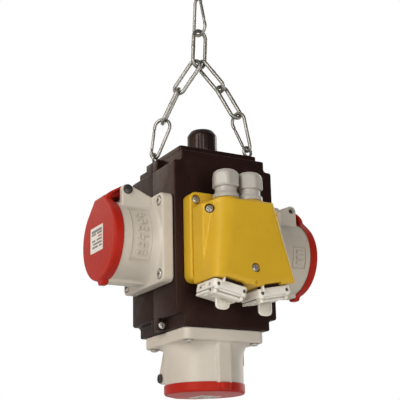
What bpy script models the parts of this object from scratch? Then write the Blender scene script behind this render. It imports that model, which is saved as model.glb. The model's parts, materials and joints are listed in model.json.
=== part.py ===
"""Portable power distribution box that hangs on a chain.

A two-part housing carries three flanged socket outlets with hinged lids, a
hooded module with two data outlets, a cable inlet gland on top and a two-leg
chain sling.  Units: metres, +Z up, front towards -Y, left towards -X.  The
parts are built in millimetres about the centre of the housing; the last step
scales them to metres and moves the origin to the centre of the flat rear face.
"""
import math
import bpy
import bmesh
from mathutils import Matrix, Vector

# ---- Driving dimensions (mm) -------------------------------------------------
HOUSING_W = 108.0          # X
HOUSING_D = 92.0           # Y
HOUSING_H = 168.0          # Z
HALF_W, HALF_D, HALF_H = HOUSING_W / 2, HOUSING_D / 2, HOUSING_H / 2
WALL = 4.0
GAP = 0.3                  # running and seating clearance
SIDE_CENTRE = (-0.8, -1.5)           # Y, Z of the two side sockets
BOTTOM_CENTRE = (-1.5, -1.5)         # X, Y of the lower socket
MODULE_X, MODULE_Z = -2.2, -1.5      # centre of the hooded module
SLING_Y = -4.5                       # Y of the cable inlet
FLANGE_PITCH = 70.0        # screw square of the socket flanges
SCREW_HOLE_R = 2.3
EYE_LEFT = (-36.0, 30.0)   # X, Y of the eye bolts, on opposite corners of the top plate
EYE_RIGHT = (38.0, -29.0)
EYE_Z = 98.3               # centre of the rings
EYE_R = 5.0
EYE_WIRE_R = 1.5
SCALE = 0.001
ORIGIN = Vector((0.0, HALF_D, 0.0))  # centre of the rear face

X, Y, Z = Vector((1, 0, 0)), Vector((0, 1, 0)), Vector((0, 0, 1))
SIDES = ((-1, "left"), (1, "right"))
TOOL = "tool"              # name of solids that a boolean uses up

for old in list(bpy.data.objects):
    bpy.data.objects.remove(old, do_unlink=True)


# ---- Frames: functions from local coordinates to a point ---------------------
def frame(origin, x_dir, y_dir, z_dir):
    start = Vector(origin)
    return lambda x, y, z: start + x_dir * x + y_dir * y + z_dir * z


def upright(x, y, z):
    return frame((x, y, z), X, Y, Z)


def shift(place, dx, dy):
    return lambda x, y, z: place(x + dx, y + dy, z)


def directions(place):
    """The three axes of a frame as vectors."""
    start = place(0, 0, 0)
    return place(1, 0, 0) - start, place(0, 1, 0) - start, place(0, 0, 1) - start


def flange_corners(place):
    """Frames at the four screws of a socket flange."""
    half = FLANGE_PITCH / 2
    return [shift(place, i * half, j * half) for i in (-1, 1) for j in (-1, 1)]


WORLD = upright(0, 0, 0)
ELEVATION = frame((0, 0, 0), X, Z, Y)                          # (x, z, y)
# Mounting faces; the third coordinate points out of the housing.
LEFT_FACE = frame((-HALF_W, *SIDE_CENTRE), Z, Y, -X)
RIGHT_FACE = frame((HALF_W, *SIDE_CENTRE), Z, -Y, X)
BOTTOM_FACE = frame((*BOTTOM_CENTRE, -HALF_H), Y, X, -Z)
INLET_FACE = upright(0, SLING_Y, HALF_H)
FRONT = frame((MODULE_X, -HALF_D, MODULE_Z), X, Z, -Y)         # (x, z, distance)


# ---- Outlines ----------------------------------------------------------------
def arc(cx, cy, radius, start, sweep, steps, radius_y=None):
    """Points on an arc; angles in degrees."""
    angles = [math.radians(start + sweep * k / steps) for k in range(steps + 1)]
    radius_y = radius_y or radius
    return [(cx + radius * math.cos(t), cy + radius_y * math.sin(t)) for t in angles]


def rounded_rect(width, height, radius, steps=3, cy=0.0):
    pts = []
    for sx, sy, start in ((1, 1, 0), (-1, 1, 90), (-1, -1, 180), (1, -1, 270)):
        corner = (sx * (width / 2 - radius), cy + sy * (height / 2 - radius))
        pts += arc(*corner, radius, start, 90, steps)
    return pts


def inset(pts, distance):
    """Moves a counter-clockwise outline inwards."""
    moved = []
    for i in range(len(pts)):
        before, here, after = (Vector(pts[j % len(pts)]) for j in (i - 1, i, i + 1))
        edge_in, edge_out = (here - before).normalized(), (after - here).normalized()
        normal_in = Vector((-edge_in.y, edge_in.x))
        normal_out = Vector((-edge_out.y, edge_out.x))
        mitre = (normal_in + normal_out) / max(1e-6, 1 + normal_in.dot(normal_out))
        moved.append((here.x + mitre.x * distance, here.y + mitre.y * distance))
    return moved


# ---- Solids ------------------------------------------------------------------
def make(name, verts, faces):
    mesh = bpy.data.meshes.new(name)
    mesh.from_pydata([tuple(v) for v in verts], [], faces)
    bm = bmesh.new()
    bm.from_mesh(mesh)
    bmesh.ops.remove_doubles(bm, verts=bm.verts, dist=1e-5)
    bmesh.ops.recalc_face_normals(bm, faces=bm.faces)
    bm.to_mesh(mesh)
    bm.free()
    ob = bpy.data.objects.new(name, mesh)
    bpy.context.scene.collection.objects.link(ob)
    return ob


def loft(name, rings):
    n = len(rings[0])
    verts = [v for ring in rings for v in ring]
    faces = [list(range(n))[::-1], [n * (len(rings) - 1) + i for i in range(n)]]
    for k in range(len(rings) - 1):
        for i in range(n):
            j = (i + 1) % n
            faces.append([k * n + i, k * n + j, (k + 1) * n + j, (k + 1) * n + i])
    return make(name, verts, faces)


def stack(name, place, levels):
    """Loft through (outline, height) levels."""
    return loft(name, [[place(x, y, height) for x, y in outline] for outline, height in levels])


def prism(name, outline, place, start, end):
    return stack(name, place, [(outline, start), (outline, end)])


def box(name, low, high, place=WORLD):
    outline = [(low[0], low[1]), (high[0], low[1]), (high[0], high[1]), (low[0], high[1])]
    return prism(name, outline, place, low[2], high[2])


def cylinder(place, radius, start, end, segments):
    angles = [2 * math.pi * i / segments for i in range(segments)]
    outline = [(radius * math.cos(t), radius * math.sin(t)) for t in angles]
    return prism(TOOL, outline, place, start, end)


def lathe(name, profile, place, segments, radial=None):
    """Turned solid; profile is a closed list of (radius, height).

    radial(i, radius) gives a factor on the radius at segment i.
    """
    verts, rows = [], []
    for radius, height in profile:
        if radius < 1e-6:
            rows.append([len(verts)] * segments)
            verts.append(place(0, 0, height))
            continue
        rows.append(list(range(len(verts), len(verts) + segments)))
        for i in range(segments):
            t = 2 * math.pi * i / segments
            r = radius * (radial(i, radius) if radial else 1.0)
            verts.append(place(r * math.cos(t), r * math.sin(t), height))
    faces = []
    count = len(profile)
    on_axis = profile[0][0] < 1e-6 and profile[-1][0] < 1e-6
    for k in range(count - 1 if on_axis else count):
        lower, upper = rows[k], rows[(k + 1) % count]
        for i in range(segments):
            j = (i + 1) % segments
            face = list(dict.fromkeys((lower[i], lower[j], upper[j], upper[i])))
            if len(face) > 2:
                faces.append(face)
    return make(name, verts, faces)


def turned_plug(place, radius, start, end, segments):
    """Cylinder whose caps are triangle fans."""
    profile = [(0, start), (radius, start), (radius, end), (0, end)]
    return lathe(TOOL, profile, place, segments)


def wire(name, pts, normal, radius, closed=True, taper=None):
    """Round wire along a planar path; normal is the path's plane normal."""
    sides = 8
    n = len(pts)
    normal = Vector(normal).normalized()
    rings = []
    for i, point in enumerate(pts):
        before = pts[(i - 1) % n] if (closed or i > 0) else point
        after = pts[(i + 1) % n] if (closed or i < n - 1) else point
        across = normal.cross((after - before).normalized()).normalized()
        r = radius * taper[i] if taper else radius
        angles = [2 * math.pi * (k + 0.5) / sides for k in range(sides)]
        rings.append([point + across * (r * math.cos(t)) + normal * (r * math.sin(t))
                      for t in angles])
    if not closed:
        return loft(name, rings)
    faces = []
    for i in range(n):
        j = (i + 1) % n
        for k in range(sides):
            m = (k + 1) % sides
            faces.append([i * sides + k, i * sides + m, j * sides + m, j * sides + k])
    return make(name, [v for ring in rings for v in ring], faces)


# ---- Booleans ----------------------------------------------------------------
def combine(ob, operation, tools):
    """Applies the tools in turn, deletes them and cleans the mesh once."""
    for tool in tools:
        modifier = ob.modifiers.new("cut", "BOOLEAN")
        modifier.operation = operation
        modifier.solver = "EXACT"
        modifier.object = tool
        depsgraph = bpy.context.evaluated_depsgraph_get()
        mesh = bpy.data.meshes.new_from_object(ob.evaluated_get(depsgraph))
        ob.modifiers.remove(modifier)
        ob.data = mesh
        bpy.data.objects.remove(tool, do_unlink=True)
    bm = bmesh.new()
    bm.from_mesh(ob.data)
    bmesh.ops.remove_doubles(bm, verts=bm.verts, dist=1e-4)
    bmesh.ops.dissolve_degenerate(bm, edges=bm.edges, dist=1e-4)
    bmesh.ops.dissolve_limit(bm, angle_limit=math.radians(0.05), verts=bm.verts, edges=bm.edges)
    bmesh.ops.triangulate(bm, faces=[f for f in bm.faces if len(f.verts) > 4])
    bm.to_mesh(ob.data)
    bm.free()


def cut(ob, *tools):
    combine(ob, "DIFFERENCE", tools)


def join(ob, *tools):
    combine(ob, "UNION", tools)


def intersect(ob, *tools):
    combine(ob, "INTERSECT", tools)


def drill(ob, place, radius, start, end, segments):
    cut(ob, cylinder(place, radius, start, end, segments))


def add_boss(ob, place, radius, start, end, segments):
    join(ob, cylinder(place, radius, start, end, segments))


# ---- Housing -----------------------------------------------------------------
NOTCH_X, NOTCH_Z = 8.3, 10.6         # corner notches of the housing outline
SHELF_R, NOTCH_R, TOP_R = 2.5, 3.2, 1.5   # roundings: shelf edge, notch root, top edge
SEAM = 0.15                          # half the slit between the shells
# Inset of the outline and distance from the seam plane, outer face first.
SHELL_LEVELS = [(1.6, HALF_D), (0.6, HALF_D - 0.6), (0.0, HALF_D - 1.8), (0.0, SEAM)]
FRONT_LUG_D, REAR_LUG_D = 9.6, 5.2   # the lugs fill the notches to this depth
LUG_X, LUG_Z = 49.9, -79.0           # clamping screws
LUG_HOLE_R = 1.9
PORT_R, INLET_PORT_R = 31.0, 17.0


def housing_outline():
    shelf = HALF_H - NOTCH_Z
    wall = HALF_W - NOTCH_X
    quarter = arc(HALF_W - SHELF_R, shelf - SHELF_R, SHELF_R, 0, 90, 3)
    quarter += arc(wall + NOTCH_R, shelf + NOTCH_R, NOTCH_R, 270, -90, 3)
    quarter += arc(wall - TOP_R, HALF_H - TOP_R, TOP_R, 0, 90, 2)
    return (quarter + [(-x, z) for x, z in quarter[::-1]]
            + [(-x, -z) for x, z in quarter] + [(x, -z) for x, z in quarter[::-1]])


def cavity_outline():
    x0, x1 = 41.5, HALF_W - WALL
    z0, z1 = 69.0, HALF_H - WALL
    return [(x1, -z0), (x1, z0), (x0, z0), (x0, z1), (-x0, z1), (-x0, z0),
            (-x1, z0), (-x1, -z0), (-x0, -z0), (-x0, -z1), (x0, -z1), (x0, -z0)]


def wall_holes():
    """Tools shared by both shells: ports and screw holes of the sockets, inlet port."""
    tools = []
    for face in (LEFT_FACE, RIGHT_FACE, BOTTOM_FACE):
        tools.append(cylinder(face, PORT_R, -9.0, 3.0, 24))
        tools += [cylinder(c, SCREW_HOLE_R, -9.0, 3.0, 8) for c in flange_corners(face)]
    tools.append(cylinder(INLET_FACE, INLET_PORT_R, -9.0, 3.0, 24))
    return tools


def lug_axis(side):
    """Frame on a clamping screw, pointing to the front."""
    return frame((side * LUG_X, 0, LUG_Z), X, Z, -Y)


def shell(name, y_sign, lug_depth):
    """One half of the housing; y_sign is -1 for the front and 1 for the rear."""
    outline = housing_outline()
    levels = [(inset(outline, d) if d else outline, y_sign * y) for d, y in SHELL_LEVELS]
    ob = stack(name, ELEVATION, levels[::-y_sign])
    y0, y1 = sorted((y_sign * SEAM, y_sign * lug_depth))
    for sx in (-1, 1):
        for sz in (-1, 1):
            x0, x1 = sorted((sx * (HALF_W - NOTCH_X - 2.0), sx * (HALF_W - 0.2)))
            z0, z1 = sorted((sz * (HALF_H - NOTCH_Z - 2.0), sz * (HALF_H - 0.3)))
            join(ob, box(TOOL, (x0, y0, z0), (x1, y1, z1)))
    y0, y1 = sorted((y_sign * (HALF_D - WALL), -y_sign * 2.0))
    cut(ob, prism(TOOL, cavity_outline(), ELEVATION, y0, y1))
    cut(ob, *wall_holes())
    return ob


def front_shell():
    ob = shell("front_shell", -1, FRONT_LUG_D)
    cut(ob, prism(TOOL, rounded_rect(60, 60, 6), FRONT, -9.0, 3.0))
    for side in (-1, 1):
        drill(ob, lug_axis(side), 4.0, 8.2, 12.0, 20)
        drill(ob, lug_axis(side), LUG_HOLE_R, -2.0, 9.0, 12)


def rear_shell():
    ob = shell("rear_shell", 1, REAR_LUG_D)
    for side in (-1, 1):
        drill(ob, lug_axis(side), LUG_HOLE_R, -3.6, 2.0, 12)


def lug_screws():
    """Screws that clamp the two shells."""
    profile = [(0, -3.2), (1.5, -3.2), (1.5, 8.5), (3.3, 8.5), (3.3, 9.7), (2.6, 10.4),
               (1.0, 10.6), (0.7, 9.9), (0, 9.9)]
    for side, tag in SIDES:
        lathe("lug_screw_" + tag, profile, lug_axis(side), 16)


front_shell()
rear_shell()
lug_screws()

# ---- Top plate, eye bolts and cable inlet ------------------------------------
PLATE_T = 7.4
PLATE_BEVEL = 1.0


def top_plate():
    outline = rounded_rect(82, 74.5, 3)
    ob = stack("top_plate", upright(0, 0, HALF_H), [
        (outline, GAP), (outline, PLATE_T - PLATE_BEVEL), (inset(outline, PLATE_BEVEL), PLATE_T)])
    drill(ob, INLET_FACE, 13.4, -1.0, 9.0, 32)
    for x, y in (EYE_LEFT, EYE_RIGHT):
        drill(ob, upright(x, y, HALF_H), 2.2, 2.4, 9.0, 12)


def eye_bolt(tag, position, turn):
    """Upright ring, turned by some degrees about Z, on a short shank."""
    x, y = position
    across = Vector((math.cos(math.radians(turn)), math.sin(math.radians(turn)), 0.0))
    centre = Vector((x, y, EYE_Z))
    angles = [2 * math.pi * k / 16 for k in range(16)]
    pts = [centre + across * (EYE_R * math.cos(t)) + Z * (EYE_R * math.sin(t)) for t in angles]
    ob = wire("eye_bolt_" + tag, pts, (-across.y, across.x, 0.0), EYE_WIRE_R)
    add_boss(ob, upright(x, y, 0), 1.9, HALF_H + 2.7, EYE_Z - EYE_R + 0.2, 12)


def inlet_knurl(i, radius):
    """Every other segment of the nut's widest part is set back."""
    return 1.0 - (0.028 if i % 2 and radius > 15.5 else 0.0)


def inlet_gland():
    place = upright(0, SLING_Y, HALF_H + PLATE_T)
    lathe("inlet_gland_body", [
        (9.5, -17.0), (12.9, -17.0), (12.9, GAP), (17.4, GAP), (17.4, 6.2), (12.9, 6.2),
        (12.9, 21.0), (9.5, 21.0)], place, 24)
    lathe("inlet_gland_nut", [
        (13.3, 6.6), (16.6, 6.6), (17.0, 7.4), (17.0, 24.0), (16.0, 28.0), (13.4, 31.6),
        (9.6, 33.8), (9.2, 33.6), (9.2, 22.0), (13.3, 22.0)], place, 36, radial=inlet_knurl)
    lathe("inlet_gland_seal", [
        (6.4, 23.0), (8.8, 23.0), (8.8, 33.0), (8.0, 34.4), (6.4, 34.4)], place, 16)


top_plate()
eye_bolt("left", EYE_LEFT, 39.4)
eye_bolt("right", EYE_RIGHT, 13.0)
inlet_gland()

# ---- Flanged socket outlets --------------------------------------------------
# Socket frame: (towards the lid hinge, along the hinge pin, outwards).
# Hinge frame: (outwards, towards the hinge, along the pin).
FLANGE = 85.0              # square flange
FLANGE_T = 11.5
FLANGE_BEVEL = 1.2
SOCKET_R = 38.0            # neck outside radius
SOCKET_BORE_R = 33.5
SOCKET_NECK_END = 50.2     # from the mounting face
SPOUT_R = 29.5             # collar that enters the housing port
CONTACT_CIRCLE_R = 16.0
HINGE_OUT = 37.5           # lid pin, distance from mounting face
HINGE_SIDE = 46.0          # lid pin, distance from socket axis
HINGE_HALF = 23.0          # half width over the hinge cheeks
CHEEK_T = 6.2
LID_R = 38.4
LID_T = 6.6
LID_BACK = SOCKET_NECK_END + 0.35
LID_FACE = LID_BACK + LID_T


def hinge_frame(place):
    to_hinge, along_pin, outwards = directions(place)
    return frame(place(0, 0, 0), outwards, to_hinge, along_pin)


def socket_housing(tag, place):
    square = rounded_rect(FLANGE, FLANGE, 4.5)
    face = FLANGE - 2 * FLANGE_BEVEL
    ob = stack(tag + "_housing", place, [
        (square, GAP), (square, FLANGE_T - FLANGE_BEVEL),
        (rounded_rect(face, face, 3.6), FLANGE_T)])
    join(ob, turned_plug(place, SOCKET_R, 5.0, SOCKET_NECK_END, 40))
    join(ob, turned_plug(place, SPOUT_R, -7.0, 3.0, 24))
    # Rib on the side of the neck away from the hinge.
    join(ob, box(TOOL, (-SOCKET_R - 1.6, -7.6, 8.0),
                 (-SOCKET_R + 4.0, 7.6, SOCKET_NECK_END - 0.6), place))
    # Hinge cheeks with gussets.
    hinge = hinge_frame(place)
    cheek = [(8.0, 30.0), (8.0, 40.2), (13.0, 41.2), (HINGE_OUT - 7.5, HINGE_SIDE + 2.6)]
    cheek += arc(HINGE_OUT, HINGE_SIDE, 5.6, 120, -120, 6, radius_y=5.2)
    cheek += [(HINGE_OUT + 5.6, 30.0)]
    for s in (-1, 1):
        start, end = sorted((s * (HINGE_HALF - CHEEK_T), s * HINGE_HALF))
        join(ob, prism(TOOL, cheek, hinge, start, end))
    pin_axis = shift(hinge, HINGE_OUT, HINGE_SIDE)
    drill(ob, pin_axis, 2.25, -HINGE_HALF - 3, HINGE_HALF + 3, 12)
    drill(ob, place, SOCKET_BORE_R, 13.5, SOCKET_NECK_END + 3, 36)
    drill(ob, place, 25.0, -9.0, 15.0, 24)
    for corner in flange_corners(place):
        drill(ob, corner, SCREW_HOLE_R, -2.0, 14.0, 8)


def socket_insert(tag, place):
    """Contact carrier with five bores, the first one wider."""
    ob = lathe(tag + "_insert", [
        (0, -4.0), (22.0, -4.0), (22.0, 13.8), (32.6, 13.8), (32.6, 18.0), (24.5, 18.0),
        (24.5, 34.0), (0, 34.0)], place, 24)
    for k in range(5):
        t = math.radians(72 * k - 90 - 36)
        bore = shift(place, CONTACT_CIRCLE_R * math.sin(t), CONTACT_CIRCLE_R * math.cos(t))
        drill(ob, bore, 3.0 if k else 3.8, 6.0, 40.0, 8)


def socket_screws(tag, place):
    # Radius, height above the flange.
    head = [(1.9, 0.3), (4.0, 0.3), (4.0, 1.4), (3.0, 2.4), (0.9, 2.4), (0.7, 1.6), (0, 1.6)]
    profile = [(0, -8.0), (1.9, -8.0)] + [(r, FLANGE_T + h) for r, h in head]
    for label, corner in zip(("a1", "a2", "b1", "b2"), flange_corners(place)):
        lathe(tag + "_screw_" + label, profile, corner, 10)


def lid_outline(radius, half_width, top):
    """Circle with straight tangent flanks up to a flat edge on the hinge side."""
    start = math.atan2(half_width, top) + math.acos(radius / math.hypot(top, half_width))
    start = math.degrees(start)
    return (arc(0, 0, radius, start, 360 - 2 * start, 24)
            + [(top, -half_width), (top, half_width)])


def socket_lid(tag, place):
    rim = lid_outline(LID_R, 16.2, 44.5)
    ob = stack(tag + "_lid", place, [
        (rim, LID_BACK), (rim, LID_FACE - 1.6),
        (lid_outline(LID_R - 0.7, 15.5, 43.6), LID_FACE - 0.5),
        (lid_outline(LID_R - 1.9, 14.4, 42.0), LID_FACE)])
    cut(ob, turned_plug(place, SOCKET_BORE_R + 1.0, LID_BACK - 2, LID_BACK + 3.6, 30))
    finger_lip = [(-LID_R + 3, -5.0), (-LID_R + 3, 5.0), (-LID_R - 4.2, 4.0),
                  (-LID_R - 5.0, 2.4), (-LID_R - 5.0, -2.4), (-LID_R - 4.2, -4.0)]
    join(ob, prism(TOOL, finger_lip, place, LID_BACK + 0.6, LID_BACK + 4.2))
    # Arm and knuckle, in the hinge frame.
    hinge = hinge_frame(place)
    arm = [(HINGE_OUT + 4.6, HINGE_SIDE - 3.4), (LID_BACK + 1.0, 39.2), (LID_FACE - 1.8, 36.5),
           (LID_FACE - 1.8, 43.2), (LID_BACK + 2.0, 46.4), (HINGE_OUT + 3.2, HINGE_SIDE + 4.2),
           (HINGE_OUT, HINGE_SIDE + 3.0), (HINGE_OUT + 1.0, HINGE_SIDE - 3.0)]
    join(ob, prism(TOOL, arm, hinge, -15.6, 15.6))
    pin_axis = shift(hinge, HINGE_OUT, HINGE_SIDE)
    add_boss(ob, pin_axis, 4.7, -16.3, 16.3, 20)
    drill(ob, pin_axis, 2.3, -20, 20, 12)


def socket_pin(tag, place):
    low, high = -HINGE_HALF, HINGE_HALF + 1.2
    lathe(tag + "_pin", [
        (0, low - 1.5), (2.6, low - 1.5), (3.6, low - 1.1), (3.6, low - 0.3), (1.9, low - 0.3),
        (1.9, high), (0, high)], shift(hinge_frame(place), HINGE_OUT, HINGE_SIDE), 14)


for socket_tag, socket_place in (("left_socket", LEFT_FACE), ("right_socket", RIGHT_FACE),
                                 ("lower_socket", BOTTOM_FACE)):
    for build in (socket_housing, socket_insert, socket_screws, socket_lid, socket_pin):
        build(socket_tag, socket_place)

# ---- Hooded module on the front ----------------------------------------------
MODULE_FLANGE_W, MODULE_FLANGE_H = 86.0, 84.5
MODULE_FLANGE_T = 14.0
MODULE_BEVEL = 1.5
HOOD_BACK = MODULE_FLANGE_T + GAP    # distances are from the mounting face
HOOD_D_TOP = 48.3          # hood's front face at its top
HOOD_D_BOTTOM = 55.0       # and at its bottom
HOOD_TOP_Z = 27.0          # height of that top, in the module frame
HOOD_SLOPE_H = 80.0        # height between the two
HOOD_EDGE = 6.5            # rounding of the hood's upright front edges
HOOD_WALL = 2.6
GLAND_X = 12.7             # small glands, to each side of the module centre
GLAND_D = 28.0             # their axis, from the mounting face
GLAND_Z = 30.5             # their seat
LOWER_SCREW_Z = -36.5      # in the module frame


def module_flange():
    rim = rounded_rect(MODULE_FLANGE_W, MODULE_FLANGE_H, 7.0, 4, cy=-1.75)
    face = rounded_rect(MODULE_FLANGE_W - 2 * MODULE_BEVEL, MODULE_FLANGE_H - 2 * MODULE_BEVEL,
                        5.5, 4, cy=-1.75)
    ob = stack("module_flange", FRONT, [
        (rim, GAP), (rim, MODULE_FLANGE_T - MODULE_BEVEL), (face, MODULE_FLANGE_T)])
    cut(ob, prism(TOOL, rounded_rect(56, 56, 6), FRONT, -3.0, 20.0))
    for s in (-1, 1):
        for z in (-37.0, 33.0):
            drill(ob, shift(FRONT, s * 36.2, z), SCREW_HOLE_R, -3.0, 20.0, 12)


def hood_depth(z):
    """Distance of the hood's front face, which slopes outwards towards the bottom."""
    return HOOD_D_TOP + (HOOD_D_BOTTOM - HOOD_D_TOP) * (HOOD_TOP_Z - z) / HOOD_SLOPE_H


def hood_section(z, wall):
    """Half outline (x, distance) of the hood at height z; wall is 0 for the outer surface.

    The side stands square to the mounting face at the bottom.  Towards the top its
    front part leans inwards, which leaves a shelf for the cover screw.
    """
    shelf = min(1.0, max(0.0, (z + 30.0) / 54.0))
    lean = (z + 45.0) / 71.0
    extra = 3.0 if wall else 0.0     # the inner solid runs past the back, short of the front
    back = Vector((40.9 - wall, HOOD_BACK - extra))
    side = Vector((40.6 - wall, 32.5 - 0.5 * wall))
    shelf_end = Vector((40.3 - 7.9 * shelf - wall, 32.8 + 3.2 * shelf - 0.5 * wall))
    corner = Vector((41.0 - 15.6 * lean - wall, hood_depth(z) - extra))
    edge_side = corner + (shelf_end - corner).normalized() * HOOD_EDGE
    edge_front = corner + Vector((-HOOD_EDGE, 0.0))
    edge_middle = edge_side * 0.25 + corner * 0.5 + edge_front * 0.25
    return [back, side, shelf_end, edge_side, edge_middle, edge_front]


def hood_solid(name, wall):
    rings = []
    for z in (-60.0, -45.0, -30.0, -3.0, 24.0, 40.0):
        half = hood_section(z, wall)
        rings.append([FRONT(p.x, z, p.y) for p in half]
                     + [FRONT(-p.x, z, p.y) for p in reversed(half)])
    ob = loft(name, rings)
    # Seen from the front (x, z): pointed bottom, shouldered top.
    shoulder = [(44.0, 23.2 - wall), (27.5, 28.9 - wall), (20.5, 31.9 - wall)]
    outline = [(-44.0, -46.4 + wall), (0.0, -54.0 + wall), (44.0, -46.4 + wall)]
    outline += shoulder + [(-x, z) for x, z in reversed(shoulder)]
    intersect(ob, prism(TOOL, outline, FRONT, 5.0, 70.0))
    # Seen from the side (distance, z): the top falls towards the front.
    profile = [(5.0, -60.0), (70.0, -60.0), (70.0, 12.0 - wall), (48.4, 27.2 - wall),
               (45.5, 28.9 - wall), (36.0, 31.2 - wall), (5.0, 31.9 - wall)]
    intersect(ob, prism(TOOL, profile, frame(FRONT(0, 0, 0), -Y, Z, X), -50.0, 50.0))
    return ob


def gland_axis(side, z):
    return upright(MODULE_X + side * GLAND_X, -HALF_D - GLAND_D, z)


def shelf_screw(side):
    normal = Vector((side * 0.42, -0.907, 0.0)).normalized()
    return frame((MODULE_X + side * 34.6, -HALF_D - 35.3, 17.8), Z, normal.cross(Z), normal)


def lower_screw():
    normal = Vector((0, -1.0, 0.084)).normalized()
    y = -HALF_D - hood_depth(LOWER_SCREW_Z) - 0.1
    return frame((MODULE_X + 0.5, y, MODULE_Z + LOWER_SCREW_Z), X, normal.cross(X), normal)


# Cover screws: one on the shelf of each side and one low on the front face.
# Name, frame, height of the boss face in that frame.
COVER_SCREWS = (("left", shelf_screw(-1), 0.4), ("right", shelf_screw(1), 0.4),
                ("lower", lower_screw(), -0.4))


def outlet_place(side):
    """Data outlet, tilted outwards and facing down: (sideways, forwards, downwards)."""
    tilt = math.radians(11.5)
    origin = (MODULE_X + side * 21.3, -HALF_D - 31.5, MODULE_Z - 49.6)
    sideways = Vector((math.cos(tilt), 0, side * math.sin(tilt)))
    downwards = Vector((side * math.sin(tilt), 0, -math.cos(tilt)))
    return frame(origin, sideways, -Y, downwards)


def module_hood():
    ob = hood_solid("module_hood", 0.0)
    cut(ob, hood_solid(TOOL, HOOD_WALL))
    for side in (-1, 1):
        add_boss(ob, gland_axis(side, 0), 12.5, 25.0, GLAND_Z, 24)
    for side in (-1, 1):
        drill(ob, gland_axis(side, 0), 9.4, 18.0, 40.0, 24)
    for _, place, face in COVER_SCREWS:
        add_boss(ob, place, 6.0, -6.5, face, 20)
    for _, place, _ in COVER_SCREWS:
        drill(ob, place, 4.4, -3.2, 6.0, 20)
        drill(ob, place, 2.0, -12.0, 0.0, 12)
    for side in (-1, 1):
        cut(ob, box(TOOL, (-13.2, -12.2, -8.0), (13.2, 11.0, 6.0), outlet_place(side)))


def cover_screws():
    profile = [(0, -11.0), (1.6, -11.0), (1.6, -2.9), (3.9, -2.9), (3.9, -1.6), (3.0, -0.7),
               (1.0, -0.5), (0.8, -1.6), (0, -1.6)]
    for tag, place, _ in COVER_SCREWS:
        lathe("cover_screw_" + tag, profile, place, 16)


def outlet_hinge(place):
    """Flap hinge axis: (downwards, forwards, sideways)."""
    sideways, forwards, downwards = directions(place)
    return frame(place(0, 11.7, 12.0), downwards, forwards, sideways)


def outlet_frame(tag, place):
    rim = rounded_rect(33.0, 32.5, 3.0, 2)
    ob = stack(tag + "_outlet_frame", place, [
        (rim, 1.8), (rim, 8.6), (rounded_rect(30.6, 30.0, 2.4, 2), 9.6)])
    join(ob, box(TOOL, (-12.6, -11.6, -6.0), (12.6, 10.4, 4.0), place))
    cut(ob, box(TOOL, (-8.4, -8.2, -8.0), (8.4, 8.2, 12.0), place))
    cut(ob, box(TOOL, (-9.2, 11.6, 0.0), (9.2, 18.0, 6.0), place))
    for s in (-1, 1):                # hinge ears
        ear = s * 13.2
        join(ob, box(TOOL, (ear - 1.5, 8.0, 8.0), (ear + 1.5, 15.4, 14.2), place))
    drill(ob, outlet_hinge(place), 1.2, -20, 20, 12)


def outlet_flap(tag, place, side):
    """Flap with a knuckle between the ears and a U-shaped finger tongue that hangs plumb."""
    plan = [(-15.4, -15.0), (15.4, -15.0), (15.4, 7.2), (11.3, 7.2),
            (11.3, 12.6), (-11.3, 12.6), (-11.3, 7.2), (-15.4, 7.2)]
    ob = prism(tag + "_outlet_flap", plan, place, 10.2, 12.4)
    add_boss(ob, outlet_hinge(place), 1.9, -11.3, 11.3, 14)
    add_boss(ob, outlet_hinge(place), 0.8, -15.2, 15.2, 12)
    plumb = frame(place(-1.3 * side, 1.1, 11.7), X, -Z, -Y)    # (x, down, forwards)
    tongue = [(-7.0, 0), (7.0, 0), (7.0, 7.4), (6.2, 9.8), (4.2, 11.6), (1.6, 12.4),
              (-1.6, 12.4), (-4.2, 11.6), (-6.2, 9.8), (-7.0, 7.4)]
    join(ob, prism(TOOL, tongue, plumb, -1.1, 1.1))


def small_gland(tag, side):
    place = gland_axis(side, GLAND_Z)
    lathe(tag + "_gland_body", [
        (6.2, -8.0), (9.0, -8.0), (9.0, GAP), (12.2, GAP), (12.2, 4.6), (11.0, 5.2),
        (10.2, 5.2), (10.2, 21.0), (6.2, 21.0)], place, 18)
    lathe(tag + "_gland_nut", [
        (10.7, 11.0), (12.0, 11.0), (12.5, 12.0), (12.5, 22.0), (11.8, 25.0), (9.8, 27.2),
        (6.8, 28.2), (6.4, 28.0), (6.4, 22.0), (10.7, 22.0)], place, 18)


module_flange()
module_hood()
cover_screws()
for side_sign, side_tag in SIDES:
    outlet_frame(side_tag, outlet_place(side_sign))
    outlet_flap(side_tag, outlet_place(side_sign), side_sign)
    small_gland(side_tag, side_sign)


# ---- Terminal block inside, on the rear wall ---------------------------------
def terminal_block():
    front_y = HALF_D - WALL - 22.0
    ob = box("terminal_block", (-34.0, front_y, -22.0), (34.0, HALF_D - WALL - GAP, 22.0))
    for k in range(5):
        for z in (-14.0, 14.0):
            drill(ob, frame((-26.0 + 13.0 * k, front_y, z), X, Z, Y), 3.2, -2.0, 8.0, 8)


terminal_block()

# ---- Chain sling -------------------------------------------------------------
WIRE_R = 2.0               # chain link wire radius
LINK_PITCH = 40.0          # centre of end wire to centre of end wire
LINK_R = 6.2
TOP_LINK_R = 8.0           # centre line radius of its bow
TOP_LINK_PITCH = 41.0
HOOK_WIRE_R = 1.75         # carabiners
GATE_R = 1.6
HOOK_LENGTH = 29.0         # between the centres of the two bends
HOOK_NARROW_R = 4.2
HOOK_WIDE_R = 8.5
HOOK_PITCH = HOOK_NARROW_R + HOOK_LENGTH + HOOK_WIDE_R
HOOK_OVERLAP = HOOK_WIRE_R + WIRE_R + 0.7    # hook and link, between wire centres
LINK_OVERLAP = 2 * WIRE_R + 0.7              # link and link
EYE_PLAY = HOOK_NARROW_R - HOOK_WIRE_R - EYE_WIRE_R - 0.45   # play of a hook in its eye
SPLAY = (8.5, 0.0, -11.0)  # the legs bow outwards: link 1, link 2, hook, degrees

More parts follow.
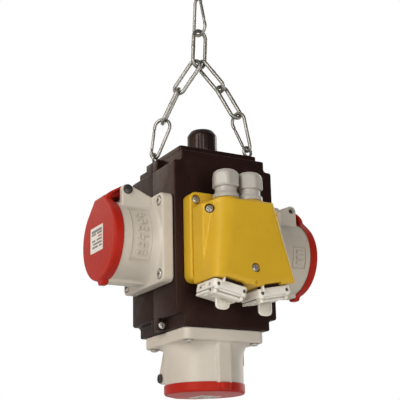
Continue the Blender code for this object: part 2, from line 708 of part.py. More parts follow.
# Both legs run from an eye to the bow of the top link, in parallel upright planes.
EYES = {-1: Vector((*EYE_LEFT, EYE_Z)), 1: Vector((*EYE_RIGHT, EYE_Z))}
MIDDLE = (EYES[1] + EYES[-1]) / 2
EYE_LINE = (EYES[1] - EYES[-1]).normalized()
BOW_TURN = math.radians(11.4)                # direction of the top link's plane
BOW_DIR = Vector((math.cos(BOW_TURN), math.sin(BOW_TURN), 0.0))
# Where the two upper links ride on the bow: along it, back along the eye line, and down.
RIDE_ALONG, RIDE_BACK, RIDE_DROP = 3.3, 1.5, 5.3
CROWN = BOW_DIR * RIDE_ALONG - EYE_LINE * RIDE_BACK   # from the middle to the right leg's top
SPAN = MIDDLE - CROWN - EYES[-1]
ACROSS = SPAN.normalized()
NORMAL = Vector((-ACROSS.y, ACROSS.x, 0.0))


def leg_run(lean):
    """Horizontal reach of a leg that leans by this many degrees."""
    lengths = (LINK_PITCH - LINK_OVERLAP, LINK_PITCH - HOOK_OVERLAP,
               HOOK_PITCH - HOOK_NARROW_R + EYE_PLAY)
    return sum(length * math.sin(math.radians(lean + splay))
               for length, splay in zip(lengths, SPLAY))


def solve_lean():
    """Lean, by bisection, at which a leg just spans its distance."""
    low, high = 5.0, 60.0
    for _ in range(50):
        lean = (low + high) / 2
        if leg_run(lean) > SPAN.length:
            high = lean
        else:
            low = lean
    return lean


LEAN = solve_lean()


def tilted(degrees):
    """Upward direction, tilted towards ACROSS."""
    t = math.radians(degrees)
    return ACROSS * math.sin(t) + Z * math.cos(t)


def lateral(along, turn):
    """In-plane direction of a link whose plane is turned by some degrees about its length."""
    flat = NORMAL.cross(along)
    t = math.radians(turn)
    return (flat * math.cos(t) + NORMAL * math.sin(t)).normalized()


def bend(centre, across, along, radius, start, sweep, steps):
    """Arc in the plane of across and along; angles in radians."""
    angles = [start + sweep * k / steps for k in range(steps + 1)]
    return [centre + across * (radius * math.cos(t)) + along * (radius * math.sin(t))
            for t in angles]


def link(name, low, along, turn, pitch=LINK_PITCH, radius=LINK_R):
    """low: centre of the lower end wire."""
    across = lateral(along, turn)
    pts = bend(low + along * (pitch - radius), across, along, radius, 0, math.pi, 8)
    pts += bend(low + along * radius, across, along, radius, math.pi, math.pi, 8)
    wire(name, pts, across.cross(along), WIRE_R)


def carabiner(name, tip, along, turn):
    """Pear snap hook; tip: centre of the wire at the narrow end, along: to the wide end."""
    across = -lateral(along, turn)
    normal = across.cross(along)
    taper = math.asin((HOOK_WIDE_R - HOOK_NARROW_R) / HOOK_LENGTH)
    narrow = (tip + along * HOOK_NARROW_R, across, along, HOOK_NARROW_R)
    wide = (tip + along * (HOOK_NARROW_R + HOOK_LENGTH), across, along, HOOK_WIDE_R)
    narrow_arc = bend(*narrow, -taper, 2 * taper - math.pi, 7)
    wide_arc = bend(*wide, math.pi + taper, -math.pi - 2 * taper, 10)
    # The gate closes the flank between the two bends.
    flank_start = narrow_arc[0]
    flank = wide_arc[-1] - flank_start
    stub, gate_gap = 0.10, 0.018     # fractions of the flank
    body = [flank_start + flank * stub, *narrow_arc, *wide_arc, flank_start + flank * (1 - stub)]
    wire(name, body, normal, HOOK_WIRE_R, closed=False)
    gate_start = flank_start + flank * (stub + gate_gap)
    gate = flank_start + flank * (1 - stub - gate_gap) - gate_start
    pts = [gate_start + gate * k for k in (0.0, 0.04, 0.08, 0.93, 1.0)]
    wire(name + "_gate", pts, normal, GATE_R, closed=False, taper=[0.45, 0.8, 1.0, 1.0, 0.6])


def leg(side, tag, turns):
    """Hook and two links; turns are for link 1, link 2, hook.  Returns the top's height."""
    upper, lower, hook = (tilted(-side * (LEAN + splay)) if side > 0 else tilted(LEAN + splay)
                          for splay in SPLAY)
    tip = EYES[side] + Z * EYE_R - hook * (HOOK_NARROW_R - EYE_PLAY)
    carabiner(tag + "_carabiner", tip, hook, turns[2])
    low_2 = tip + hook * HOOK_PITCH - lower * HOOK_OVERLAP
    link(tag + "_link_2", low_2, lower, turns[1])
    low_1 = low_2 + lower * LINK_PITCH - upper * LINK_OVERLAP
    link(tag + "_link_1", low_1, upper, turns[0])
    return (low_1 + upper * LINK_PITCH).z


def sling_top(leg_top_z):
    """Top link on the two legs, and the carabiner above it with its wide end down."""
    rise = math.sqrt(TOP_LINK_R ** 2 - RIDE_ALONG ** 2) - RIDE_DROP
    bow_centre = Vector((MIDDLE.x, MIDDLE.y, leg_top_z + rise))
    link_up, hook_up = tilted(3.0).normalized(), tilted(-2.5).normalized()
    low = bow_centre - link_up * TOP_LINK_R
    link("top_link", low, link_up, 53.4, pitch=TOP_LINK_PITCH, radius=TOP_LINK_R)
    tip = low + link_up * TOP_LINK_PITCH + hook_up * (HOOK_PITCH - HOOK_OVERLAP)
    carabiner("top_carabiner", tip, -hook_up, 35.0)


leg(-1, "left", (-16.0, 103.0, -8.6))
sling_top(leg(1, "right", (-46.0, 46.0, -35.0)))

# ---- Scale to metres about the mount origin ----------------------------------
for part in bpy.data.objects:
    part.data.transform(Matrix.Translation(-ORIGIN))
    part.data.transform(Matrix.Scale(SCALE, 4))
    part.data.update()
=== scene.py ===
import json
import math
from contextlib import contextmanager

import bmesh
import bpy
from mathutils import Matrix, Vector


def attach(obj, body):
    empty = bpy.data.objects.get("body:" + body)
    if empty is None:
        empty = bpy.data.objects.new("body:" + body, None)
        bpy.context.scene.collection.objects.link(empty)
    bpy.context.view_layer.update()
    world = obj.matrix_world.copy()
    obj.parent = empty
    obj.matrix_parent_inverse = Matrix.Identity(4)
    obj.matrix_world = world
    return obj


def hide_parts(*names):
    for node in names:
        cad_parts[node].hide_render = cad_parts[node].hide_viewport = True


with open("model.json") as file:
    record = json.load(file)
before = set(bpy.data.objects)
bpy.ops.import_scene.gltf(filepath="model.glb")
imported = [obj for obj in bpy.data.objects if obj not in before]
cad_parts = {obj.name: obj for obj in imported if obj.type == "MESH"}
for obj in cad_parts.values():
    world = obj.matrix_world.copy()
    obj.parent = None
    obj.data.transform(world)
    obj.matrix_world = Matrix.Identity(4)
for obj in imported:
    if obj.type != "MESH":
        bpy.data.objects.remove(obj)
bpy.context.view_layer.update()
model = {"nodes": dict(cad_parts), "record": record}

BODY_OF = {node: body for body, nodes in model["record"]["behaviour"]["bodies"].items()
           for node in nodes}
SLOT_OF = {part["node"]: part["material_slot"] for part in model["record"]["subparts"]}

# ---- Driving dimensions, mm ----
HALF_X, HALF_Y, HALF_Z = 54.0, 46.0, 84.0   # housing half sizes
NOTCH_X, NOTCH_Z = 8.3, 10.6                # notches in the housing's four corners
PARTING = 0.15                              # each shell stops this far from y 0
GAP = 0.3                                   # clearance under parts seated on another
LUG_X, LUG_Z = 49.9, -79.0                  # screws in the lower corner lugs
PLATE_TOP = 7.4                             # top plate, above the housing
SOCKET_FLANGE = 11.5
NECK_END = 50.2                             # socket neck, out from the housing wall
LID_BACK, LID_FACE = NECK_END + 0.35, NECK_END + 6.95
HINGE_OUT, HINGE_SIDE = 37.5, 46.0          # lid pin: out from the wall, off the socket axis
HINGE_HALF = 23.0                           # half the span of the hinge lugs
SCREW_PITCH = 35.0                          # socket flange screws, off both axes
SLING_Y = -4.5                              # cable inlet
MODULE_X, MODULE_Z = -2.2, -1.5             # centre of the front module
MODULE_FLANGE = 14.0
SIDES = ((-1, "left"), (1, "right"))
CORNERS = [(i, j) for i in (-1, 1) for j in (-1, 1)]
TUBE_SEG = 20


# ---- Frames: functions from local (x, y, z) to a point ----
def frame_at(origin, x_axis, y_axis, z_axis):
    origin, x_axis, y_axis, z_axis = map(Vector, (origin, x_axis, y_axis, z_axis))
    return lambda x, y, z: origin + x_axis * x + y_axis * y + z_axis * z


def vectors_of(frame):
    """Origin and the three axes of a frame."""
    origin = frame(0, 0, 0)
    return origin, frame(1, 0, 0) - origin, frame(0, 1, 0) - origin, frame(0, 0, 1) - origin


def matrix_from(origin, x_axis, y_axis, z_axis):
    return Matrix(((*x_axis, 0), (*y_axis, 0), (*z_axis, 0), (*origin, 1))).transposed()


def shift(frame, along_x, along_y, along_z=0.0):
    return lambda x, y, z: frame(x + along_x, y + along_y, z + along_z)


def upright(x, y, z):
    return frame_at((x, y, z), (1, 0, 0), (0, 1, 0), (0, 0, 1))


def front_facing(x, y, z):
    return frame_at((x, y, z), (1, 0, 0), (0, 0, 1), (0, -1, 0))


WORLD = upright(0, 0, 0)
XZ = frame_at((0, 0, 0), (1, 0, 0), (0, 0, 1), (0, 1, 0))
# Socket frames: x towards the lid hinge, y along the pin, z outwards.
SIDE_LEFT = frame_at((-HALF_X, -0.8, -1.5), (0, 0, 1), (0, 1, 0), (-1, 0, 0))
SIDE_RIGHT = frame_at((HALF_X, -0.8, -1.5), (0, 0, 1), (0, -1, 0), (1, 0, 0))
DOWN = frame_at((-1.5, -1.5, -HALF_Z), (0, 1, 0), (1, 0, 0), (0, 0, -1))
UP = upright(0, SLING_Y, HALF_Z)
FRONT = front_facing(MODULE_X, -HALF_Y, MODULE_Z)
SOCKETS = (("left_socket", SIDE_LEFT), ("right_socket", SIDE_RIGHT), ("lower_socket", DOWN))


# ---- Outlines ----
def circle(radius, seg):
    angles = [2 * math.pi * i / seg for i in range(seg)]
    return [(radius * math.cos(angle), radius * math.sin(angle)) for angle in angles]


def arc(x, y, radius, degrees):
    return [(x + radius * math.cos(angle), y + radius * math.sin(angle))
            for angle in map(math.radians, degrees)]


def rounded_rect(width, height, radius, seg, x=0.0, y=0.0):
    points = []
    for side_x, side_y, start in ((1, 1, 0), (-1, 1, 90), (-1, -1, 180), (1, -1, 270)):
        points += arc(x + side_x * (width / 2 - radius), y + side_y * (height / 2 - radius),
                      radius, [start + 90 * k / seg for k in range(seg + 1)])
    return points


def inset(points, distance):
    moved_in = []
    for i in range(len(points)):
        before, here = Vector(points[i - 1]), Vector(points[i])
        after = Vector(points[(i + 1) % len(points)])
        edge_in, edge_out = (here - before).normalized(), (after - here).normalized()
        normal_in = Vector((-edge_in.y, edge_in.x))
        normal_out = Vector((-edge_out.y, edge_out.x))
        miter = (normal_in + normal_out) / max(1e-6, (1 + normal_in.dot(normal_out)))
        moved_in.append((here.x + miter.x * distance, here.y + miter.y * distance))
    return moved_in


# ---- Mesh helpers ----
def new_object(name, verts, faces):
    mesh = bpy.data.meshes.new(name)
    mesh.from_pydata([tuple(v) for v in verts], [], faces)
    part = bpy.data.objects.new(name, mesh)
    bpy.context.scene.collection.objects.link(part)
    return part


def drop(part):
    mesh = part.data
    bpy.data.objects.remove(part, do_unlink=True)
    bpy.data.meshes.remove(mesh)


@contextmanager
def editing(part):
    mesh = bmesh.new()
    mesh.from_mesh(part.data)
    yield mesh
    mesh.to_mesh(part.data)
    mesh.free()


def make(name, verts, faces):
    part = new_object(name, verts, faces)
    with editing(part) as mesh:
        bmesh.ops.remove_doubles(mesh, verts=mesh.verts, dist=1e-5)
        bmesh.ops.recalc_face_normals(mesh, faces=mesh.faces)
    return part


def loft(rings, closed=False, name="part"):
    """Skin over equal rings: capped at both ends, or closed into a loop."""
    size, count = len(rings[0]), len(rings)
    faces = []
    if not closed:
        faces = [list(range(size))[::-1], [size * (count - 1) + i for i in range(size)]]
    for k in range(count if closed else count - 1):
        here, after = k * size, (k + 1) % count * size
        for i in range(size):
            j = (i + 1) % size
            faces.append([here + i, here + j, after + j, after + i])
    return make(name, [v for ring in rings for v in ring], faces)


def prism(outline, frame, start, end, name="part"):
    return loft([[frame(x, y, z) for x, y in outline] for z in (start, end)], name=name)


def box(low, high, frame=WORLD, name="part"):
    outline = [(low[0], low[1]), (high[0], low[1]), (high[0], high[1]), (low[0], high[1])]
    return prism(outline, frame, low[2], high[2], name)


def cylinder(frame, radius, start, end, seg=48):
    return prism(circle(radius, seg), frame, start, end)


def lathe(profile, frame, seg, radial=None, name="part"):
    """Turns (radius, height) points about z; radial(angle, radius, height) scales the radius."""
    verts, rows = [], []
    for radius, height in profile:
        if radius < 1e-6:
            rows.append([len(verts)] * seg)
            verts.append(frame(0, 0, height))
            continue
        rows.append(list(range(len(verts), len(verts) + seg)))
        for i in range(seg):
            angle = 2 * math.pi * i / seg
            reach = radius * (radial(angle, radius, height) if radial else 1.0)
            verts.append(frame(reach * math.cos(angle), reach * math.sin(angle), height))
    faces = []
    on_axis = profile[0][0] < 1e-6 and profile[-1][0] < 1e-6
    for k in range(len(rows) - int(on_axis)):
        here, after = rows[k], rows[(k + 1) % len(rows)]
        for i in range(seg):
            j = (i + 1) % seg
            face = list(dict.fromkeys((here[i], here[j], after[j], after[i])))
            if len(face) > 2:
                faces.append(face)
    return make(name, verts, faces)


def turned(profile, frame, seg, name="part"):
    """Solid lathe: the profile is closed by flat ends on the axis."""
    profile = [(0, profile[0][1])] + profile + [(0, profile[-1][1])]
    return lathe(profile, frame, seg, name=name)


def rounded_slab(outline, frame, start, end, end_round, start_round, steps, name="part"):
    """Prism whose edges are rounded at the start and end faces."""
    rings = []
    way = 1 if end > start else -1

    def ring(points, z):
        rings.append([frame(x, y, z) for x, y in points])

    angles = [math.radians(90 * k / steps) for k in range(steps + 1)]
    if start_round:
        for angle in angles[:-1]:
            ring(inset(outline, start_round * (1 - math.sin(angle))),
                 start + way * start_round * (1 - math.cos(angle)))
    ring(outline, start + way * start_round)
    for angle in angles:
        ring(inset(outline, end_round * (1 - math.cos(angle))),
             end - way * end_round * (1 - math.sin(angle)))
    return loft(rings, name=name)


def tube(name, points, normal, radii, closed=True):
    """Round wire along a planar path, with a radius for each point."""
    count = len(points)
    normal = Vector(normal).normalized()
    rings = []
    for i, point in enumerate(points):
        before = points[i - 1] if (closed or i > 0) else point
        after = points[(i + 1) % count] if (closed or i < count - 1) else point
        side = normal.cross((after - before).normalized()).normalized()
        angles = [2 * math.pi * (k + 0.5) / TUBE_SEG for k in range(TUBE_SEG)]
        rings.append([point + side * (radii[i] * math.cos(angle))
                      + normal * (radii[i] * math.sin(angle)) for angle in angles])
    return loft(rings, closed, name)


def join(name, parts):
    verts, faces = [], []
    for part in parts:
        base = len(verts)
        verts += [v.co.copy() for v in part.data.vertices]
        faces += [[base + i for i in face.vertices] for face in part.data.polygons]
        drop(part)
    return new_object(name, verts, faces)


def apply(part, **modifiers):
    """Applies a stack of modifiers, given as KIND=dict(settings)."""
    for kind, settings in modifiers.items():
        modifier = part.modifiers.new(kind, kind)
        for key, value in settings.items():
            setattr(modifier, key, value)
    depsgraph = bpy.context.evaluated_depsgraph_get()
    mesh = bpy.data.meshes.new_from_object(part.evaluated_get(depsgraph))
    part.modifiers.clear()
    old, part.data = part.data, mesh
    bpy.data.meshes.remove(old)
    return part


def cut(part, *cutters, operation="DIFFERENCE"):
    """Exact booleans, one after another; the cutters are used up."""
    for cutter in cutters:
        apply(part, BOOLEAN=dict(operation=operation, solver="EXACT", object=cutter))
        drop(cutter)
    return part


def fuse(part, *others):
    return cut(part, *others, operation="UNION")


def tidy(part, flat=0.03):
    """Merges doubles and, unless flat is 0, dissolves edges within that many degrees."""
    with editing(part) as mesh:
        bmesh.ops.remove_doubles(mesh, verts=mesh.verts, dist=1e-4)
        bmesh.ops.dissolve_degenerate(mesh, edges=mesh.edges, dist=1e-4)
        if flat:
            bmesh.ops.dissolve_limit(mesh, angle_limit=math.radians(flat), verts=mesh.verts,
                                     edges=mesh.edges)
    return part


def soften(part, voxel, smooth):
    return apply(part, REMESH=dict(mode="VOXEL", voxel_size=voxel, adaptivity=0.0),
                 SMOOTH=dict(factor=0.5, iterations=smooth))


def decimate(part, ratio):
    return apply(part, DECIMATE=dict(decimate_type="COLLAPSE", ratio=ratio))


def moved(part, frame):
    part.data.transform(matrix_from(*vectors_of(frame)))
    return part


def copy_of(part, name, frame):
    new = bpy.data.objects.new(name, part.data.copy())
    bpy.context.scene.collection.objects.link(new)
    return moved(new, frame)


def shade(part, angle):
    limit = math.radians(angle)
    with editing(part) as mesh:
        for face in mesh.faces:
            face.smooth = True
        for edge in mesh.edges:
            edge.smooth = len(edge.link_faces) == 2 and edge.calc_face_angle(0.0) < limit


def settle(part, material, node=None, body="housing", slot=None, angle=38.0, smooth=True):
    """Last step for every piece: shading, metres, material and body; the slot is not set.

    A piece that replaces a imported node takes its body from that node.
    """
    if smooth:
        shade(part, angle)
    part.data.transform(Matrix.Translation((0.0, -HALF_Y, 0.0)))
    part.data.transform(Matrix.Scale(0.001, 4))
    part.data.materials.clear()
    part.data.materials.append(material)
    part.data.update()
    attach(part, BODY_OF[node] if node else body)
    if node:
        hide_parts(node)
    SLOT_OF[node] if node else slot


# ---- Shader graphs ----
def scaled(color, factor, lift=0.0):
    return tuple(min(1.0, c * factor + lift) for c in color)


class Graph:
    def __init__(self, owner, kind="Material", coords="Object"):
        owner.use_nodes = True
        self.owner, self.tree = owner, owner.node_tree
        self.tree.nodes.clear()
        self.out = self.node("Output" + kind)
        self.coords = self.add("TexCoord", output=coords)

    def node(self, kind, inputs=None, **settings):
        node = self.tree.nodes.new("ShaderNode" + kind)
        for key, value in settings.items():
            setattr(node, key, value)
        for key, value in (inputs or {}).items():
            if isinstance(value, bpy.types.NodeSocket):
                self.tree.links.new(value, node.inputs[key])
            else:
                node.inputs[key].default_value = value
        return node

    def add(self, kind, inputs=None, output=0, **settings):
        return self.node(kind, inputs, **settings).outputs[output]

    def math(self, operation, value, other, clamp=False):
        return self.add("Math", {0: value, 1: other}, operation=operation, use_clamp=clamp)

    def plus(self, value, other, clamp=False):
        return self.math("ADD", value, other, clamp)

    def times(self, value, factor):
        return self.math("MULTIPLY", value, factor)

    def swing(self, value, amount):
        """The value about its middle, 0.5, times an amount."""
        return self.times(self.math("SUBTRACT", value, 0.5), amount)

    def noise(self, scale, detail, rough=0.55, distortion=0.0, coords=None):
        return self.add("TexNoise", {"Vector": coords or self.coords, "Scale": scale,
                                     "Detail": detail, "Roughness": rough,
                                     "Distortion": distortion})

    def ramp(self, value, span, out=(0.0, 1.0)):
        return self.add("MapRange", {0: value, 1: span[0], 2: span[1], 3: out[0], 4: out[1]},
                        interpolation_type="SMOOTHSTEP")

    def mix(self, factor, first, second):
        colors = {key: value if isinstance(value, bpy.types.NodeSocket) else (*value, 1.0)
                  for key, value in ((6, first), (7, second))}
        return self.add("Mix", {0: factor, **colors}, output=2, data_type="RGBA",
                        blend_type="MIX")

    def rounded_normal(self, radius_mm):
        return self.add("Bevel", {"Radius": radius_mm * 0.001}, samples=4)

    def edges(self, rounded):
        """1 along edges, from the difference of the rounded and true normals."""
        true = self.add("NewGeometry", output="Normal")
        dot = self.add("VectorMath", {0: rounded, 1: true}, output="Value",
                       operation="DOT_PRODUCT")
        return self.ramp(dot, span=(0.995, 0.80))

    def occlusion(self, distance):
        return self.add("AmbientOcclusion", {"Distance": distance}, output="AO", samples=4)

    def bump(self, height, normal, strength, distance):
        return self.add("Bump", {"Strength": strength, "Distance": distance,
                                 "Height": height, "Normal": normal})

    def finish(self, shader):
        self.tree.links.new(shader, self.out.inputs[0])
        return self.owner


def plastic(name, base, rough=0.42, vary=0.10, edge=None, edge_mix=0.3,
            dirt_and_shade=(0.10, 0.08, 0.06), dirt_and_shade_mix=0.35, bevel_mm=0.35, grain=0.22, spec=0.5,
            wave=0.10, sss=0.0, tint=None, scratch=0.35, spec_tint=(1.0, 1.0, 1.0)):
    net = Graph(bpy.data.materials.new(name))
    big = net.noise(scale=22.0, detail=5.0, rough=0.6)
    mid = net.noise(scale=130.0, detail=4.0, rough=0.6, distortion=0.4)
    fine = net.noise(scale=900.0, detail=3.0, rough=0.6)
    grit = net.noise(scale=2600.0, detail=2.0, rough=0.5)
    color = net.mix(net.ramp(big, span=(0.3, 0.7)), scaled(base, factor=1.0 - vary),
                    scaled(base, factor=1.0 + vary))
    if tint:
        color = net.mix(net.ramp(mid, span=(0.52, 0.75), out=(0.0, 0.35)), color, tint)
    color = net.mix(net.ramp(fine, span=(0.35, 0.75), out=(0.0, 0.12)), color,
                    scaled(base, factor=0.82))
    # thin hairline scratches, from noise stretched along one direction
    stretched = net.add("Mapping", {"Vector": net.coords, "Rotation": (0.4, 0.9, 0.3),
                                    "Scale": (60.0, 900.0, 700.0)})
    lines = net.noise(scale=1.0, detail=2.0, rough=0.5, distortion=0.6, coords=stretched)
    lines = net.ramp(lines, span=(0.70, 0.76), out=(0.0, scratch))
    color = net.mix(net.times(lines, factor=0.35), color, scaled(base, factor=1.25, lift=0.02))
    rounded = net.rounded_normal(bevel_mm)
    if edge:
        patchy = net.ramp(mid, span=(0.38, 0.62), out=(0.15, 1.0))
        worn = net.times(net.edges(rounded), patchy)
        color = net.mix(net.times(worn, edge_mix), color, edge)
    # painted shade: ambient occlusion darkens corners, crevices and gaps between parts, in
    # patches, for shade and dirt together
    if dirt_and_shade_mix:
        corners = net.ramp(net.occlusion(distance=0.007), span=(0.80, 0.25))
        dirt_and_shade_amount = net.times(corners, net.ramp(mid, span=(0.30, 0.65), out=(0.4, 1.0)))
        color = net.mix(net.times(dirt_and_shade_amount, dirt_and_shade_mix), color, dirt_and_shade)
    roughness = net.plus(rough, net.swing(mid, amount=0.22))
    roughness = net.plus(roughness, net.swing(big, amount=0.14))
    roughness = net.plus(roughness, net.times(lines, factor=0.25), clamp=True)
    height = net.plus(net.times(grit, grain), net.times(big, factor=wave * 8.0))
    height = net.plus(height, net.times(lines, factor=-0.2))
    inputs = {"Base Color": color, "Roughness": roughness,
              "Normal": net.bump(height, rounded, strength=0.35, distance=0.00025),
              "IOR": 1.48, "Specular IOR Level": spec, "Coat Weight": 0.0,
              "Coat Roughness": 0.25, "Specular Tint": (*spec_tint, 1.0)}
    if sss:
        inputs.update({"Subsurface Weight": sss, "Subsurface Scale": 1.0,
                       "Subsurface Radius": (0.002, 0.0016, 0.0010)})
    return net.finish(net.add("BsdfPrincipled", inputs))


def metal(name, base, rough=0.32, dirt_and_shade_mix=0.6, bevel_mm=0.2, metallic=1.0):
    net = Graph(bpy.data.materials.new(name))
    big = net.noise(scale=60.0, detail=5.0, rough=0.65, distortion=0.3)
    mid = net.noise(scale=420.0, detail=4.0, rough=0.6, distortion=0.5)
    fine = net.noise(scale=2400.0, detail=2.0, rough=0.5)
    cells = net.add("TexVoronoi", {"Vector": net.coords, "Scale": 520.0}, output="Color")
    cells = net.add("SeparateColor", {0: cells})
    color = net.mix(net.ramp(big, span=(0.3, 0.7)), scaled(base, factor=0.80),
                    scaled(base, factor=1.12))
    color = net.mix(net.times(cells, factor=0.25), color, scaled(base, factor=0.72))
    stain = (0.22, 0.20, 0.17)
    color = net.mix(net.ramp(mid, span=(0.60, 0.78), out=(0.0, 0.5)), color, stain)
    # painted shade: ambient occlusion darkens hollows and gaps towards dark grey, for shade and
    # dirt together
    corners = net.ramp(net.occlusion(distance=0.004), span=(0.85, 0.3))
    dirt_and_shade_amount = net.times(corners, dirt_and_shade_mix)
    dirt_and_shade = (0.09, 0.085, 0.075)
    color = net.mix(dirt_and_shade_amount, color, dirt_and_shade)
    rounded = net.rounded_normal(bevel_mm)
    color = net.mix(net.times(net.edges(rounded), factor=0.25), color,
                    scaled(base, factor=1.3))
    roughness = net.plus(rough, net.swing(big, amount=0.30))
    roughness = net.plus(roughness, net.times(net.ramp(mid, span=(0.5, 0.8)), factor=0.25))
    roughness = net.plus(roughness, net.times(dirt_and_shade_amount, factor=0.3), clamp=True)
    height = net.plus(net.times(fine, factor=0.3), net.times(mid, factor=0.8))
    return net.finish(net.add("BsdfPrincipled", {
        "Base Color": color, "Roughness": roughness, "Metallic": metallic,
        "Normal": net.bump(height, rounded, strength=0.3, distance=0.00012)}))


# ---- Materials ----
DARK_SHELL = dict(vary=0.16, dirt_and_shade=(0.012, 0.008, 0.007), dirt_and_shade_mix=0.5, bevel_mm=0.6,
                  scratch=0.4)
LABEL_INK = dict(rough=0.6, dirt_and_shade_mix=0.0, scratch=0.1, wave=0.02)
M_HOUSING = plastic(
    "dark_housing", (0.0150, 0.0064, 0.0058), rough=0.40, edge=(0.050, 0.032, 0.026),
    edge_mix=0.5, grain=0.30, spec=0.27, tint=(0.024, 0.012, 0.010),
    spec_tint=(1.0, 0.62, 0.50), **DARK_SHELL)
# painted shade: the same plastic as the front shell with a darker base, so the rear half reads as
# shaded
M_HOUSING_REAR_SHADED = plastic(
    "dark_housing_rear_painted_shade", (0.0125, 0.0055, 0.0052), rough=0.48, edge=(0.040, 0.026, 0.022),
    edge_mix=0.45, grain=0.34, spec=0.20, tint=(0.020, 0.010, 0.009),
    spec_tint=(1.0, 0.66, 0.56), **DARK_SHELL)
M_BLACK = plastic(
    "black_gland", (0.0125, 0.0068, 0.0065), rough=0.34, vary=0.15, edge=(0.05, 0.04, 0.037),
    edge_mix=0.5, dirt_and_shade=(0.01, 0.008, 0.007), dirt_and_shade_mix=0.4, bevel_mm=0.4, spec=0.42,
    spec_tint=(1.0, 0.75, 0.70))
M_RUBBER = plastic("black_rubber", (0.015, 0.015, 0.015), rough=0.75,
                   dirt_and_shade=(0.04, 0.037, 0.033), dirt_and_shade_mix=0.3, grain=0.5, spec=0.3)
M_GREY = plastic(
    "warm_grey_socket", (0.57, 0.525, 0.452), vary=0.045, edge=(0.74, 0.71, 0.65),
    edge_mix=0.35, dirt_and_shade=(0.26, 0.22, 0.18), dirt_and_shade_mix=0.5, bevel_mm=0.5, grain=0.18,
    sss=0.04, tint=(0.52, 0.47, 0.41), scratch=0.3)
M_GLAND = plastic(
    "light_grey_gland", (0.43, 0.407, 0.367), rough=0.36, vary=0.05, edge=(0.66, 0.63, 0.57),
    edge_mix=0.4, dirt_and_shade=(0.25, 0.21, 0.16), dirt_and_shade_mix=0.45, bevel_mm=0.4, grain=0.12, sss=0.04)
M_OUTLET = plastic(
    "off_white_outlet", (0.80, 0.775, 0.70), rough=0.34, vary=0.05, edge=(0.82, 0.78, 0.68),
    edge_mix=0.4, dirt_and_shade=(0.30, 0.25, 0.17), dirt_and_shade_mix=0.6, bevel_mm=0.3, grain=0.10, sss=0.06)
M_YELLOW = plastic(
    "ochre_yellow_module", (0.62, 0.378, 0.022), rough=0.38, vary=0.035,
    edge=(0.72, 0.45, 0.04), edge_mix=0.10, dirt_and_shade=(0.30, 0.15, 0.02), dirt_and_shade_mix=0.5,
    bevel_mm=0.5, grain=0.14, tint=(0.56, 0.33, 0.024), sss=0.03, scratch=0.3,
    spec_tint=(1.0, 0.85, 0.5))
M_RED = plastic(
    "red_lid", (0.40, 0.016, 0.009), spec=0.30, rough=0.44, vary=0.06,
    edge=(0.55, 0.09, 0.055), edge_mix=0.35, dirt_and_shade=(0.10, 0.01, 0.008), dirt_and_shade_mix=0.5,
    bevel_mm=0.5, grain=0.16, tint=(0.38, 0.018, 0.012), scratch=0.4,
    spec_tint=(1.0, 0.5, 0.42))
M_DARK = plastic("dark_insert", (0.035, 0.035, 0.038), rough=0.5, edge=(0.1, 0.1, 0.1),
                 dirt_and_shade_mix=0.2)
M_LABEL = plastic("blank_label", (0.74, 0.71, 0.66), rough=0.5, vary=0.03,
                  dirt_and_shade=(0.4, 0.36, 0.30), dirt_and_shade_mix=0.3, scratch=0.2, wave=0.04)
M_BAR = plastic("label_bar_grey", (0.20, 0.20, 0.20), **LABEL_INK)
M_BAR_RED = plastic("label_bar_red", (0.55, 0.16, 0.16), **LABEL_INK)
M_TERMINAL = plastic("terminal_grey", (0.42, 0.42, 0.40), rough=0.5, vary=0.05)
M_ZINC = metal("zinc_wire", (0.37, 0.365, 0.338), rough=0.42)
M_SCREW = metal("plated_screw", (0.62, 0.60, 0.56), rough=0.34, dirt_and_shade_mix=0.7, bevel_mm=0.15,
                metallic=0.55)
M_PIN = metal("dark_pin", (0.075, 0.072, 0.07), rough=0.38, dirt_and_shade_mix=0.9, bevel_mm=0.15,
              metallic=0.7)
M_SCREW_DARK = metal("dull_screw", (0.30, 0.285, 0.26), rough=0.42, dirt_and_shade_mix=0.9,
                     bevel_mm=0.15)
M_SCREW_PINK = metal("bright_screw", (0.66, 0.58, 0.52), rough=0.42, dirt_and_shade_mix=0.5,
                     bevel_mm=0.15)
M_BRASS = metal("contact_brass", (0.62, 0.44, 0.18), rough=0.3, dirt_and_shade_mix=0.4)


def screw(name, radius, height, seg=40, shank=2.0):
    """Pan-head screw with a cross recess, along +z; the seat is at z 0."""
    part = lathe([(0, -3.0), (shank, -3.0), (shank, 0), (radius * 0.96, 0), (radius, 0.25),
                  (radius, height * 0.35), (radius * 0.93, height * 0.62),
                  (radius * 0.75, height * 0.85), (radius * 0.4, height * 0.98), (0, height)],
                 WORLD, seg, name=name)
    width, reach, floor_z = radius * 0.20, radius * 0.66, height - height * 0.62
    cut(part, box((-reach, -width, floor_z), (reach, width, height + 1)),
        box((-width, -reach, floor_z), (width, reach, height + 1)))
    return tidy(part, 0)


# ---- Housing ----
def housing_outline():
    shelf, wall = HALF_Z - NOTCH_Z, HALF_X - NOTCH_X
    quarter = arc(HALF_X - 2.5, shelf - 2.5, 2.5, range(0, 91, 15))
    quarter += arc(wall + 3.2, shelf + 3.2, 3.2, range(270, 179, -15))
    quarter += arc(wall - 1.5, HALF_Z - 1.5, 1.5, [22.5 * k for k in range(5)])
    return (quarter + [(-x, z) for x, z in quarter[::-1]] + [(-x, -z) for x, z in quarter]
            + [(x, -z) for x, z in quarter[::-1]])


# (x, z) corners of the space inside the shells
CAVITY = [(50, -69), (50, 69), (41.5, 69), (41.5, 80), (-41.5, 80), (-41.5, 69),
          (-50, 69), (-50, -69), (-41.5, -69), (-41.5, -80), (41.5, -80), (41.5, -69)]
WALL = 4.0


